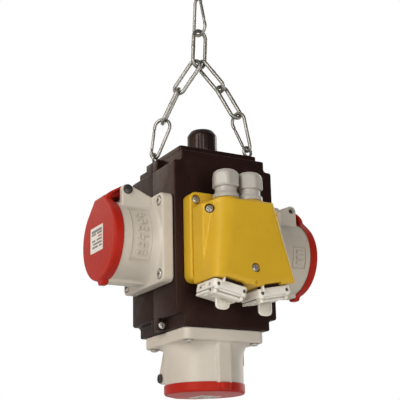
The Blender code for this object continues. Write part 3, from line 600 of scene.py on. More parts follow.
def shell(name, side, tab_end):
    """Front (side -1) or rear (side 1) shell, with a tab in each corner notch."""
    face, parting = side * HALF_Y, side * PARTING
    part = rounded_slab(housing_outline(), XZ, parting, face, 1.15, 0.35, 3, name)
    near_x, far_x = HALF_X - NOTCH_X - 2.0, HALF_X - 0.2
    near_z, far_z = HALF_Z - NOTCH_Z - 2.0, HALF_Z - 0.3
    for side_x, side_z in CORNERS:
        tab = rounded_rect(far_x - near_x, far_z - near_z, 1.4, 4,
                           side_x * (near_x + far_x) / 2, side_z * (near_z + far_z) / 2)
        fuse(part, rounded_slab(tab, XZ, parting, tab_end, 0.7, 0.3, 3))
    cut(part, prism(CAVITY, XZ, *sorted((face - side * WALL, -side * 2.0))))
    holes = [cylinder(frame, 31.0, -9.0, 3.0) for _, frame in SOCKETS]
    return cut(part, *holes, cylinder(UP, 17.0, -9.0, 3.0))


front = shell("front_shell_skin", -1, tab_end=-9.6)
cut(front, prism(rounded_rect(60, 60, 6, 4), FRONT, -9.0, 3.0))
for side, _ in SIDES:
    lug = front_facing(side * LUG_X, 0, LUG_Z)
    cut(front, turned([(3.9, 8.0), (3.9, 9.3), (4.3, 9.9), (4.3, 12.0)], lug, 40),
        cylinder(lug, 1.9, -2.0, 9.0, 20))
settle(tidy(front), M_HOUSING, "front_shell", angle=30)

rear = shell("rear_shell_skin", 1, tab_end=5.2)
for side, _ in SIDES:
    cut(rear, cylinder(front_facing(side * LUG_X, 0, LUG_Z), 1.9, -3.6, 2.0, 20))
settle(tidy(rear), M_HOUSING_REAR_SHADED, "rear_shell", angle=30)

PLATE = upright(0, 0, HALF_Z)
PLATE_SCREWS = [(-34.5, -31.0), (34.5, 31.0)]
# ring centres, and the turn of each ring about z in degrees
EYES = {-1: Vector((-36.0, 30.0, 98.3)), 1: Vector((38.0, -29.0, 98.3))}
EYE_TURN = {-1: 39.4, 1: 13.0}
EYE_R, EYE_WIRE, EYE_SEG = 5.0, 1.5, 64

plate = rounded_slab(rounded_rect(86, 75.5, 3, 6), PLATE, GAP, PLATE_TOP, 1.0, 0.2, 4,
                     "top_plate_skin")
cut(plate, cylinder(UP, 13.4, -1.0, 9.0))
for x, y in PLATE_SCREWS:
    cut(plate, cylinder(shift(PLATE, x, y), 4.4, 5.2, 9.0, 32))
for eye in EYES.values():
    cut(plate, cylinder(shift(PLATE, eye.x, eye.y), 2.15, 2.4, 9.0, 24))
settle(tidy(plate), M_HOUSING, "top_plate", angle=30)
plate_screw = screw("plate_screw_master", 3.6, 2.0)
for i, (x, y) in enumerate(PLATE_SCREWS):
    settle(copy_of(plate_screw, "top_plate_screw_%d" % (i + 1), shift(PLATE, x, y, 5.25)),
           M_SCREW_DARK, slot="screw_steel")
drop(plate_screw)

for side, tag in SIDES:
    lug_screw = screw("lug_screw_%s_fine" % tag, 3.4, 2.3)
    settle(moved(lug_screw, front_facing(side * LUG_X, -8.1, LUG_Z)), M_SCREW,
           "lug_screw_" + tag)

for side, tag in SIDES:
    eye, turn = EYES[side], math.radians(EYE_TURN[side])
    across = Vector((math.cos(turn), math.sin(turn), 0.0))
    path = [eye + across * x + Vector((0, 0, z)) for x, z in circle(EYE_R, EYE_SEG)]
    bolt = tube("eye_bolt_%s_fine" % tag, path, (-across.y, across.x, 0),
                [EYE_WIRE] * EYE_SEG)
    fuse(bolt, turned([(1.9, 2.7), (1.9, 7.45), (3.6, 7.5), (3.6, 8.3), (2.6, 8.7), (1.9, 9.4),
                       (0, 9.5)][:-1] + [(0, 9.5)], upright(eye.x, eye.y, HALF_Z), 28)
         if False else
         lathe([(0, 2.7), (1.9, 2.7), (1.9, 7.45), (3.6, 7.5), (3.6, 8.3), (2.6, 8.7),
                (1.9, 9.4), (0, 9.5)], upright(eye.x, eye.y, HALF_Z), 28))
    settle(tidy(bolt, 0), M_ZINC, "eye_bolt_" + tag)

# ---- Cable inlet on top ----
INLET = upright(0, SLING_Y, HALF_Z + PLATE_TOP)


def hex_factor(angle, limit, turn=0.0):
    """Radius factor that turns a circle into a hexagon with rounded corners."""
    return min(1.0 / math.cos(((angle - turn) % (math.pi / 3)) - math.pi / 6), limit)


def inlet_hex(angle, radius, height):
    return hex_factor(angle, 1.06) * 0.965 if radius > 14 else 1.0


def inlet_flutes(angle, radius, height):
    """Nine grooves round the nut, fading out below the dome."""
    if radius < 13.9 or height > 24.5:
        return 1.0
    depth = 0.028 * max(0.0, min(1.0, (24.5 - height) / 3.0))
    return 1.0 - depth * (0.5 + 0.5 * max(-1.0, min(1.0, math.cos(angle * 9 + 0.6) * 2.2)))


# (radius, height)
INLET_BODY = [(9.5, -17.0), (12.9, -17.0), (12.9, GAP), (14.7, GAP), (15.2, 0.8), (15.2, 5.6),
              (14.7, 6.2), (12.9, 6.2), (12.9, 21.0), (9.5, 21.0)]
INLET_NUT = [(13.3, 6.6), (14.6, 6.6), (14.9, 7.1), (15.0, 8.0), (15.0, 12.0), (15.0, 18.0),
             (15.0, 21.5), (15.0, 23.4), (14.85, 24.5), (14.4, 25.4), (13.6, 26.7),
             (12.7, 28.0), (12.0, 29.0), (11.5, 29.6), (10.9, 29.9), (9.7, 30.0), (9.3, 29.7),
             (9.2, 29.2), (9.2, 22.0), (13.3, 22.0)]
INLET_SEAL = [(6.4, 23.0), (8.8, 23.0), (8.8, 29.6), (8.5, 30.6), (7.8, 31.0), (6.9, 31.0),
              (6.4, 30.6)]
for node, profile, seg, radial, material, angle in (
        ("inlet_gland_body", INLET_BODY, 96, inlet_hex, M_BLACK, 30),
        ("inlet_gland_nut", INLET_NUT, 216, inlet_flutes, M_BLACK, 50),
        ("inlet_gland_seal", INLET_SEAL, 48, None, M_RUBBER, 50)):
    settle(lathe(profile, INLET, seg, radial, node + "_fine"), material, node, angle=angle)

# ---- Flanged sockets: masters in the socket frame ----
# Side view: x outwards, y towards the hinge, z along the pin.
SIDE_VIEW = frame_at((0, 0, 0), (0, 0, 1), (1, 0, 0), (0, 1, 0))
PIN = shift(SIDE_VIEW, HINGE_OUT, HINGE_SIDE)
NECK = [(41.9, 5.0), (42.3, 11.2), (41.2, 11.9), (40.2, 12.9), (39.2, 14.6), (38.4, 17.4),
        (37.8, 21.0), (37.4, 26.0), (37.3, 34.0), (37.3, NECK_END - 0.4), (36.9, NECK_END)]
SCREW_HOLE = [(2.2, -2.0), (2.2, 9.6), (4.9, 9.6), (4.9, 11.0), (5.3, 11.9)]


def socket_housing():
    parts = [rounded_slab(rounded_rect(85, 85, 6.0, 8), WORLD, GAP, SOCKET_FLANGE, 1.3, 0.3, 4),
             turned(NECK, WORLD, 128),
             cylinder(WORLD, 29.5, -7.0, 6.0, 96),
             rounded_slab(rounded_rect(9.0, 15.2, 1.6, 4, -35.6, 0), WORLD, 8.0,
                          NECK_END - 0.8, 1.0, 0.0, 3)]
    lug = [(8.0, 30.0), (8.0, 40.2), (13.0, 41.2), (HINGE_OUT - 7.5, HINGE_SIDE + 2.6)]
    for k in range(13):
        angle = math.radians(120 - 10 * k)
        lug.append((HINGE_OUT + 5.6 * math.cos(angle), HINGE_SIDE + 5.2 * math.sin(angle)))
    lug.append((HINGE_OUT + 5.6, 30.0))
    for side in (-1, 1):
        span = sorted((side * (HINGE_HALF - 6.2), side * HINGE_HALF))
        parts.append(prism(lug, SIDE_VIEW, *span))
    part = soften(join("socket_master", parts), 0.75, 4)
    cut(part, turned([(33.5, 13.5), (33.5, NECK_END - 0.8), (34.2, NECK_END + 0.1),
                      (34.2, NECK_END + 3)], WORLD, 96))
    cut(part, cylinder(WORLD, 25.0, -9.0, 15.0, 64))
    cut(part, cylinder(PIN, 2.25, -HINGE_HALF - 3, HINGE_HALF + 3, 24))
    cut(part, turned([(2.9, HINGE_HALF - 1.6), (3.3, HINGE_HALF + 0.2),
                      (3.3, HINGE_HALF + 2)], PIN, 32))
    for i, j in CORNERS:
        cut(part, turned(SCREW_HOLE, shift(WORLD, i * SCREW_PITCH, j * SCREW_PITCH), 32))
    return decimate(part, 0.42)


def lid_outline(inward):
    """Round lid with a straight-sided extension towards the hinge, inset all round."""
    radius, half, top = 38.3 - inward, 11.0 - inward, 41.6 - inward
    start = math.atan2(half, top) + math.acos(radius / math.hypot(top, half))
    angles = [start + (2 * math.pi - 2 * start) * k / 72 for k in range(73)]
    return [(radius * math.cos(angle), radius * math.sin(angle))
            for angle in angles] + [(top, -half), (top, half)]


def lid_shape():
    back, face = LID_BACK, LID_FACE
    # (inset, height) of the rounded rim
    rim = ((0.0, back - 0.2), (0.0, face - 2.2), (0.12, face - 1.3), (0.55, face - 0.55),
           (1.3, face - 0.12), (2.4, face))
    rings = [[WORLD(x, y, z) for x, y in lid_outline(inward)] for inward, z in rim]
    for scale in (0.75, 0.5, 0.25):  # slight crown of the face
        rings.append([WORLD(x * scale, y * scale, face + 0.55 * (1 - scale * scale))
                      for x, y in lid_outline(2.4)])
    parts = [loft(rings)]
    parts.append(lathe([(37.6, 47.9), (38.3, 47.9), (38.3, back + 1.0), (36.6, back + 1.0),
                        (36.6, back + 0.0), (37.6, back - 0.3)], WORLD, 144))
    lip = [(-34.0, -6.6), (-34.0, 6.6), (-38.6, 6.2), (-41.6, 4.8), (-42.4, 3.0),
           (-42.4, -3.0), (-41.6, -4.8), (-38.6, -6.2)]
    parts.append(prism(lip, WORLD, back - 1.6, back + 4.6))
    # hinge arm in side view: an outer plate with three inner ribs
    arm = [(face - 3.6, 36.0), (face - 1.0, 36.6), (face - 0.9, 38.6), (face - 2.2, 41.2),
           (back + 1.0, 44.6), (HINGE_OUT + 3.6, HINGE_SIDE + 4.6),
           (HINGE_OUT, HINGE_SIDE + 4.6), (HINGE_OUT, HINGE_SIDE + 2.4),
           (HINGE_OUT + 3.2, HINGE_SIDE + 2.4), (back - 0.6, 42.6)]
    rib = [(HINGE_OUT + 1.0, HINGE_SIDE - 3.4), (back + 0.8, 38.6), (face - 2.0, 37.0),
           (face - 2.4, 40.0), (back + 0.8, 43.6), (HINGE_OUT + 3.0, HINGE_SIDE + 3.8),
           (HINGE_OUT, HINGE_SIDE + 3.0)]
    parts.append(prism(arm, SIDE_VIEW, -15.6, 15.6))
    for start, end in ((-11.0, -8.4), (8.4, 11.0), (-1.4, 1.4)):
        parts.append(prism(rib, SIDE_VIEW, start, end))
    parts.append(cylinder(PIN, 4.7, -16.3, 16.3))
    part = soften(join("lid_master", parts), 0.6, 4)
    cut(part, turned([(34.6, back - 4), (34.6, back + 3.2)], WORLD, 96))
    cut(part, cylinder(PIN, 2.3, -20, 20, 24))
    return decimate(part, 0.5)


# Five poles on a circle; the first is the largest.
POLES = [shift(WORLD, 16.0 * math.sin(angle), 16.0 * math.cos(angle))
         for angle in [math.radians(72 * k - 126) for k in range(5)]]


def insert_shape():
    part = turned([(22.0, -4.0), (22.0, 13.8), (32.6, 13.8), (32.6, 17.6), (32.2, 18.0),
                   (24.5, 18.0), (24.5, 33.2), (23.7, 34.0)], WORLD, 72, "insert_master")
    for k, pole in enumerate(POLES):
        cut(part, cylinder(pole, 3.0 if k else 3.8, 6.0, 40.0, 28))
    cut(part, box((-27.0, -2.4, 19.0), (-23.0, 2.4, 40.0)))
    return tidy(part)


def contact_shape():
    parts = []
    for k, pole in enumerate(POLES):
        radius = 2.7 if k else 3.5
        parts.append(lathe([(radius, 6.4), (radius, 31.2), (radius - 0.25, 31.6),
                            (radius - 0.6, 31.6), (radius - 0.7, 31.2), (radius - 0.7, 8.0),
                            (0, 8.0), (0, 6.4)], pole, 28))
    return join("contacts_master", parts)


def pin_shape():
    part = turned([(0.9, -25.4), (3.3, -25.2), (4.3, -24.8), (4.6, -24.2), (4.6, -23.25),
                   (1.9, -23.25), (1.9, 21.9), (1.5, 22.3)], PIN, 40, "pin_master")
    cut(part, box((-5.2, -0.9, -26.4), (5.2, 0.9, -24.2), PIN))
    return tidy(part, 0)


def neck_patch(side, start, end, angle0, angle1, height=0.45):
    """Raised patch on the neck; angles run from the hinge towards -y for side 1."""
    steps = max(2, int(abs(angle1 - angle0) / 3))
    top = 37.75 + height
    rings = []
    for k in range(steps + 1):
        angle = math.radians(angle0 + (angle1 - angle0) * k / steps)
        rings.append([Vector((radius * math.cos(angle), -side * radius * math.sin(angle), z))
                      for z, radius in ((start, 36.8), (end, 36.8), (end - 0.12, top),
                                        (start + 0.12, top))])
    return loft(rings)


def neck_relief(name, side, border, bars):
    """Raised border with plain bars in it; both as (start, end, angle, angle)."""
    start, end, angle0, angle1 = border
    line = 0.9
    turn = math.degrees(line / 38.0)
    parts = [neck_patch(side, *patch) for patch in (
        (start, start + line, angle0, angle1), (end - line, end, angle0, angle1),
        (start + line, end - line, angle0, angle0 + turn),
        (start + line, end - line, angle1 - turn, angle1))]
    return join(name, parts + [neck_patch(side, *bar) for bar in bars])


def left_bars():
    bars = []
    for row, (start, end) in enumerate(((24.0, 26.2), (28.0, 30.2), (32.0, 34.2))):
        for k in range(6):
            angle = 54 + k * 11.5 + (row % 2) * 1.5
            bars.append((start, end, angle, angle + (7.5 if (k + row) % 3 else 4.5), 0.7))
    return bars


# side, border, bars
RELIEFS = {
    "left_socket": (1, (19.6, 40.4, 46, 127), left_bars()),
    "right_socket": (-1, (27.5, 43.0, 82, 116),
                     [(31.6, 39.9, 88 + k * 8, 93.0 + k * 8, 0.55) for k in range(3)]),
    "lower_socket": (-1, (17.0, 30.0, 100, 128),
                     [(19.5, 27.5, 104 + k * 7.5, 107 + k * 7.5, 0.3) for k in range(3)])}

pin_master = pin_shape()
housing_master = socket_housing()
lid_master = lid_shape()
insert_master = insert_shape()
contact_master = contact_shape()
screw_master = screw("screw_master", 4.0, 2.5)
gasket_master = lathe([(30.2, LID_BACK + 3.1), (30.2, LID_BACK + 1.6), (30.8, LID_BACK + 1.0),
                       (33.4, LID_BACK + 0.9), (34.3, LID_BACK + 1.3), (34.5, LID_BACK + 3.1)],
                      WORLD, 96, name="gasket_master")
for tag, frame in SOCKETS:
    for master, suffix, material, angle in (
            (housing_master, "_housing", M_GREY, 42), (insert_master, "_insert", M_DARK, 30),
            (lid_master, "_lid", M_RED, 42), (pin_master, "_pin", M_PIN, 38)):
        settle(copy_of(master, tag + suffix + "_fine", frame), material, tag + suffix,
               angle=angle)
    settle(copy_of(contact_master, tag + "_contacts", frame), M_BRASS, slot="screw_steel")
    settle(copy_of(gasket_master, tag + "_lid_gasket", frame), M_RUBBER, body=tag + "_lid",
           slot="seal_rubber")
    seat = 11.25 if tag == "lower_socket" else 10.2
    for (i, j), corner in zip(CORNERS, ("a1", "a2", "b1", "b2")):
        node = tag + "_screw_" + corner
        spot = shift(frame, i * SCREW_PITCH, j * SCREW_PITCH, seat)
        settle(copy_of(screw_master, node + "_fine", spot), M_SCREW, node)
    settle(moved(neck_relief(tag + "_relief", *RELIEFS[tag]), frame), M_GREY,
           slot="socket_grey", angle=50)
for master in (housing_master, lid_master, insert_master, contact_master, screw_master,
               gasket_master, pin_master):
    drop(master)

# spans of the bars in each label row, as fractions of the label's height
LABEL_ROWS = (((-0.42, 0.40),), ((-0.42, -0.06), (0.04, 0.40)), ((-0.42, -0.14),),
              ((-0.42, -0.02), (0.10, 0.36)), ((-0.42, 0.28),), ((-0.42, -0.20), (-0.10, 0.34)))


def label(tag, socket, body, center, width, height, turn=0.0):
    """Blank sticker with plain bars on a lid's face; row 2 is red."""
    cos, sin = math.cos(math.radians(turn)), math.sin(math.radians(turn))

    def frame(x, y, z):
        return socket(center[0] + x * cos - y * sin, center[1] + x * sin + y * cos,
                      LID_FACE + 0.52 + z)

    settle(rounded_slab(rounded_rect(width, height, 1.0, 3), frame, -0.35, 0.16, 0.05, 0.0, 1,
                        tag + "_label"), M_LABEL, body=body, slot="outlet_white")
    grey, red = [], []
    for i, row in enumerate(LABEL_ROWS):
        edge = width * (0.38 - 0.76 * i / len(LABEL_ROWS))
        thick = width * (0.075 if i else 0.10)
        for start, end in row:
            (red if i == 2 else grey).append(
                box((edge - thick, height * start, 0.12), (edge, height * end, 0.2), frame))
    settle(join(tag + "_label_bars", grey), M_BAR, body=body, smooth=False,
           slot="insert_dark")
    settle(join(tag + "_label_bar_red", red), M_BAR_RED, body=body, smooth=False,
           slot="lid_red")


label("left_lid", SIDE_LEFT, "left_socket_lid", (1.6, 2.6), 24.5, 28.5)
label("lower_lid", DOWN, "lower_socket_lid", (10.0, 6.0), 22.0, 27.0, turn=90)

# ---- Hooded module: flange ----
FLANGE_SCREWS = [(x, z) for x in (-36.4, 36.4) for z in (-37.0, 33.0)]
flange = rounded_slab(rounded_rect(86.0, 84.5, 7.0, 8, 0, -1.75), FRONT, GAP, MODULE_FLANGE,
                      1.6, 0.4, 5, "module_flange_fine")
cut(flange, prism(rounded_rect(56, 56, 6, 4), FRONT, -3.0, 20.0))
for x, z in FLANGE_SCREWS:
    cut(flange, turned([(2.3, -3.0), (2.3, 11.6), (4.3, 11.6), (4.5, 14.4)],
                       shift(FRONT, x, z), 32))
settle(tidy(flange), M_YELLOW, "module_flange", angle=30)
flange_screw = screw("module_screw_master", 4.0, 2.2)
for i, (x, z) in enumerate(FLANGE_SCREWS):
    settle(copy_of(flange_screw, "module_flange_screw_%d" % (i + 1), shift(FRONT, x, z, 11.7)),
           M_SCREW_PINK, slot="screw_steel")
drop(flange_screw)

# ---- Hooded module: hood; x across, z up and depth forward from the housing's front ----
HOOD_BACK = MODULE_FLANGE + GAP
HOOD_WALL = 2.6
PEAK_X, PEAK_Z = 2.5, -53.2              # lowest point of the lower edge
GLAND_X, GLAND_DEPTH, GLAND_Z = 12.7, 28.0, 30.5
OUTLET_TILT = math.radians(11.5)
NOTCH_SPAN = {-1: (-9.2, 10.0), 1: (-12.6, 5.6)}  # across each outlet
HOOD_LEVELS = (-60.0, -52.0, -45.0, -37.0, -30.0, -16.0, -3.0, 10.0, 24.0, 32.0, 40.0)


def hood_depth(z):
    return 48.0 + 8.4 * (27.0 - z) / 80.0


def lower_edge(x):
    if x < PEAK_X:
        return PEAK_Z + (PEAK_X - x) * 6.8 / 46.5
    return PEAK_Z + (x - PEAK_X) * 6.6 / 41.5


def hood_section(z, wall, steps, right=False):
    """Half section at z as (x, depth), inset by the wall; the right half is wider and sharper."""
    rise = min(1.0, max(0.0, (z + 30.0) / 54.0))
    narrow = (z + 45.0) / 71.0
    wide = 1.2 if right else 0.0
    blend = 3.4 if right else 12.0
    foot = Vector((40.9 - wall + wide, HOOD_BACK if wall == 0 else HOOD_BACK - 3.0))
    side = Vector((40.6 - wall + wide, 32.5 - 0.5 * wall))
    bend = Vector((40.3 - 7.9 * rise - wall + wide, 32.8 + 3.2 * rise - 0.5 * wall))
    corner = Vector((41.0 - 15.6 * narrow - wall + wide, hood_depth(z) - (3.0 if wall else 0.0)))
    start = corner + (bend - corner).normalized() * blend
    end = corner + Vector((-blend * 1.15, 0.0))
    curve = []
    for k in range(steps + 1):
        q = k / steps
        curve.append(start * (1 - q) ** 2 + corner * (2 * q * (1 - q)) + end * q * q)
    return [foot, side, bend] + curve


def hood_solid(wall, steps, name="part"):
    """Hood's outer form, or with a wall its hollow."""
    rings = []
    for z in HOOD_LEVELS:
        rings.append([FRONT(p.x, z, p.y) for p in hood_section(z, wall, steps, True)]
                     + [FRONT(-p.x, z, p.y) for p in reversed(hood_section(z, wall, steps))])
    part = loft(rings, name=name)
    side = [(44.0, 23.2 - wall), (27.5, 28.9 - wall), (20.5, 31.9 - wall)]
    outline = [(-44.0, -46.4 + wall), (PEAK_X, PEAK_Z + wall), (44.0, -46.6 + wall)] + side
    outline += [(-x, z) for x, z in reversed(side)]
    cut(part, prism(outline, FRONT, 5.0, 70.0), operation="INTERSECT")
    # (depth, z) outline of the sloping top
    top = [(5.0, -60.0), (70.0, -60.0), (70.0, 11.0 - wall), (48.2, 27.0 - wall),
           (45.5, 28.9 - wall), (36.0, 31.2 - wall), (5.0, 31.9 - wall)]
    across = frame_at(FRONT(0, 0, 0), (0, -1, 0), (0, 0, 1), (1, 0, 0))
    return cut(part, prism(top, across, -50.0, 50.0), operation="INTERSECT")


def strip_cutter(side):
    """Leans the lower front strip back under a crisp edge."""
    rings = []
    for x in (PEAK_X - 0.02 * side, 46.0 * side):
        low = lower_edge(x)
        deep = hood_depth(low + 4.4)
        rings.append([FRONT(x, low + 4.4, deep + 0.01), FRONT(x, low + 4.4, deep + 6.0),
                      FRONT(x, low - 2.0, deep + 6.0), FRONT(x, low - 2.0, deep - 2.2)])
    return loft(rings)


def facing(origin, normal, x_axis):
    normal, x_axis = Vector(normal).normalized(), Vector(x_axis)
    return frame_at(origin, x_axis, normal.cross(x_axis), normal)


def flank(side):
    return facing((MODULE_X + side * 34.6, -HALF_Y - 35.3, 17.8), (side * 0.42, -0.907, 0.0),
                  (0, 0, 1))


def gland_frame(side, z=0):
    return upright(MODULE_X + side * GLAND_X, -HALF_Y - GLAND_DEPTH, z)


def outlet_frame(side):
    """x across, y towards the front, z down and tilted outwards."""
    cos, sin = math.cos(OUTLET_TILT), math.sin(OUTLET_TILT)
    return frame_at((MODULE_X + side * 21.3, -HALF_Y - 31.5, MODULE_Z - 49.6),
                    (cos, 0, side * sin), (0, -1, 0), (side * sin, 0, -cos))


def outlet_front(frame):
    """The outlet's frame with z towards the front and y down."""
    origin, across, forward, down = vectors_of(frame)
    return frame_at(origin, across, down, forward)


NOSE = facing((MODULE_X + 0.9, -HALF_Y - hood_depth(-36.3) - 0.1, -37.8), (0, -1.0, 0.084),
              (1, 0, 0))
COVER_SCREWS = (("left", flank(-1)), ("right", flank(1)), ("lower", NOSE))
OUTLETS = {side: outlet_frame(side) for side, _ in SIDES}

hood = hood_solid(0.0, 8, "module_hood_fine")
for side, _ in SIDES:
    cut(hood, strip_cutter(side))
bosses = [cylinder(gland_frame(side), 12.6, 22.0, GLAND_Z + 0.1, 96) for side, _ in SIDES]
bosses += [turned([(6.2, -8.0), (6.0, 0.0), (5.5, 0.7)], frame, 48)
           for tag, frame in COVER_SCREWS if tag != "lower"]
hood = soften(join("module_hood_fine", [hood] + bosses), 0.55, 6)
cut(hood, hood_solid(HOOD_WALL, 3))
for side, _ in SIDES:
    outlet = OUTLETS[side]
    cut(hood, cylinder(gland_frame(side), 9.4, 18.0, 40.0))
    cut(hood, box((-13.2, -12.2, -8.0), (13.2, 11.0, 6.0), outlet))
    # notch in the lower front strip, open towards the outlet
    low, high = NOTCH_SPAN[side]
    cut(hood, rounded_slab(rounded_rect(high - low, 7.0, 0.5, 2, (low + high) / 2, 2.3),
                           outlet_front(outlet), 12.0, 30.0, 0.1, 0.0, 1))
for _, frame in COVER_SCREWS:
    cut(hood, turned([(2.0, -9.0), (2.0, -3.4), (4.4, -3.4), (4.4, 0.2), (4.9, 1.2),
                      (4.9, 6.0)], frame, 40))
# shallow dimple above the middle of the lower edge
dimple = frame_at(FRONT(0.6, -50.4, hood_depth(-50.4) - 1.1), (1, 0, 0), (0, 0.35, 0.94),
                  (0, -0.94, 0.35))
cut(hood, turned([(1.2, -0.9), (1.7, 0.4), (1.7, 3.0)], dimple, 24))
settle(decimate(hood, 0.5), M_YELLOW, "module_hood", angle=40)
cover_screw = screw("cover_screw_master", 3.9, 2.2)
for tag, frame in COVER_SCREWS:
    settle(copy_of(cover_screw, "cover_screw_%s_fine" % tag, shift(frame, 0, 0, -3.1)), M_SCREW,
           "cover_screw_" + tag)
drop(cover_screw)

# ---- Data outlets ----
OUTLET_SPAN = {-1: (-17.6, 16.4), 1: (-16.4, 17.6)}
FACE_SCREW_X = 13.2


def outlet_face(frame, x):
    """Frame on the outlet's front face, at a screw."""
    _, across, forward, down = vectors_of(frame)
    return frame_at(frame(x, 18.75, 6.0), across, -down, forward)


def outlet_ears(side, frame):
    """Frames of the two screws on the outlet's outer side."""
    low, high = OUTLET_SPAN[side]
    _, across, forward, down = vectors_of(frame)
    ear = frame_at(frame(low + 0.05 if side < 0 else high - 0.05, 0, 0), forward, down,
                   across * side)
    return [(ear, -9.0), (ear, 8.6)]


def outlet_hinge(frame):
    _, across, forward, down = vectors_of(frame)
    return frame_at(frame(0, 11.7, 12.0), down, forward, across)


def outlet_body(side, tag, frame):
    low, high = OUTLET_SPAN[side]
    part = rounded_slab(rounded_rect(high - low, 35.0, 3.0, 6, (low + high) / 2, 1.3), frame,
                        1.9, 9.4, 0.9, 0.3, 3, tag + "_outlet_frame_fine")

    def add(outline, *depths):
        fuse(part, rounded_slab(rounded_rect(*outline), frame, *depths))

    add((25.2, 22.0, 1.5, 3, 0, -0.6), -6.0, 4.5, 0.2, 0.4, 2)
    # stepped front with a raised rim, and blocks at both sides
    add((22.0, 3.0, 1.0, 3, 0, 15.6), 7.0, 11.2, 0.6, 0.0, 2)
    for i in (-1, 1):
        add((3.4, 7.6, 1.0, 3, i * 13.2, 11.9), 8.0, 14.2, 0.9, 0.0, 3)
        add((5.2, 5.2, 2.2, 4, i * 13.4, 16.2), 6.0, 10.6, 0.5, 0.0, 2)
        cut(part, rounded_slab(rounded_rect(2.6, 9.0, 0.8, 2,
                                            low + 0.4 if i < 0 else high - 0.4, -3.0),
                               frame, 3.6, 7.6, 0.2, 0.2, 1))
    cut(part, box((-8.4, -8.2, -8.0), (8.4, 8.2, 14.0), frame))
    cut(part, box((-9.4, 11.4, -1.0), (9.4, 17.2, 5.6), frame))
    for ear, y in outlet_ears(side, frame):
        cut(part, turned([(1.7, -2.4), (1.7, -0.6), (2.1, 0.2), (2.1, 2.0)],
                         shift(ear, y, 5.8), 24))
    cut(part, cylinder(outlet_hinge(frame), 1.2, -20, 20, 20))
    for i in (-1, 1):
        cut(part, turned([(1.75, -1.5), (1.75, 0.4)], outlet_face(frame, i * FACE_SCREW_X), 24))
    apply(tidy(part), BEVEL=dict(
        width=0.22, segments=1, limit_method="ANGLE", angle_limit=math.radians(40),
        use_clamp_overlap=True, miter_outer="MITER_ARC"))
    settle(part, M_OUTLET, tag + "_outlet_frame", angle=35)


def outlet_screws(side, tag, frame):
    spots = [("front", k + 1, 1.65, shift(outlet_face(frame, i * FACE_SCREW_X), 0, 0, -1.3))
             for k, i in enumerate((-1, 1))]
    spots += [("side", k + 1, 1.6, shift(ear, y, 5.8, -2.2))
              for k, (ear, y) in enumerate(outlet_ears(side, frame))]
    for place, number, radius, spot in spots:
        part = screw("%s_outlet_%s_screw_%d" % (tag, place, number), radius, 1.0, 28, 1.0)
        settle(moved(part, spot), M_SCREW_DARK, slot="screw_steel")


def notch_parts(side, tag, frame):
    """Tab beside the hood's notch, and a dark block behind it as painted shade in the notch."""
    low, high = NOTCH_SPAN[side]
    settle(rounded_slab(rounded_rect(1.3, 6.6, 0.5, 3, low - 0.9, 1.6), outlet_front(frame),
                        18.8, 22.6, 0.4, 0.0, 2, tag + "_hood_tab"),
           M_OUTLET, slot="module_yellow")
    # painted shade: a dark block that darkens the notch like a deep recess
    settle(box((low - 1.5, 12.5, -4.0), (high + 1.5, 18.2, 1.5), frame, tag + "_notch_shade_block"),
           M_HOUSING, slot="insert_dark")


def outlet_flap(side, tag, frame):
    """Stepped flap with a raised panel, a knuckle and a plumb U tongue with fine ribs."""
    low, high = OUTLET_SPAN[side]
    plan = [(low + 1.0, -15.2), (high - 1.0, -15.2), (high - 1.0, 7.0), (11.0, 7.0),
            (11.0, 13.2), (-11.0, 13.2), (-11.0, 7.0), (low + 1.0, 7.0)]
    part = rounded_slab(plan, frame, 10.1, 12.5, 0.5, 0.25, 3, tag + "_outlet_flap_fine")
    fuse(part, rounded_slab(rounded_rect(18.0, 17.0, 1.6, 4, 0, -3.6), frame, 12.0, 13.3,
                            0.4, 0.0, 2))
    hinge = outlet_hinge(frame)
    fuse(part, cylinder(hinge, 1.9, -11.3, 11.3, 28))
    fuse(part, cylinder(hinge, 0.8, -15.2, 15.2, 16))
    for i in (-1, 1):
        fuse(part, rounded_slab(rounded_rect(2.2, 9.0, 0.8, 3, i * 13.0, -4.0), frame,
                                12.2, 13.4, 0.4, 0.0, 2))
    plumb = frame_at(frame(-1.3 * side, 1.1, 11.7), (1, 0, 0), (0, 0, -1), (0, -1, 0))
    straight = 5.4 if side < 0 else 8.4
    tongue = [(-7.0, 0), (7.0, 0), (7.0, straight)]
    for angle in map(math.radians, range(10, 171, 10)):
        cos = math.cos(angle)
        tongue.append((math.copysign(7.0 * abs(cos) ** 0.72, cos),
                       straight + 5.4 * math.sin(angle) ** 0.72))
    tongue.append((-7.0, straight))
    fuse(part, rounded_slab(tongue, plumb, -1.1, 1.2, 0.4, 0.4, 3))
    cut(part, prism([(x * 0.80, 1.0 + y * 0.82) for x, y in tongue], plumb, 0.45, 2.0))
    for k in range(7):
        x = -4.8 + 1.6 * k
        fuse(part, box((x - 0.26, 1.6, 0.35), (x + 0.26, 10.6 - abs(x) * 0.35, 0.85), plumb))
    settle(tidy(part, 0), M_OUTLET, tag + "_outlet_flap", angle=35)


for side, tag in SIDES:
    for build in (outlet_body, outlet_screws, notch_parts, outlet_flap):
        build(side, tag, OUTLETS[side])

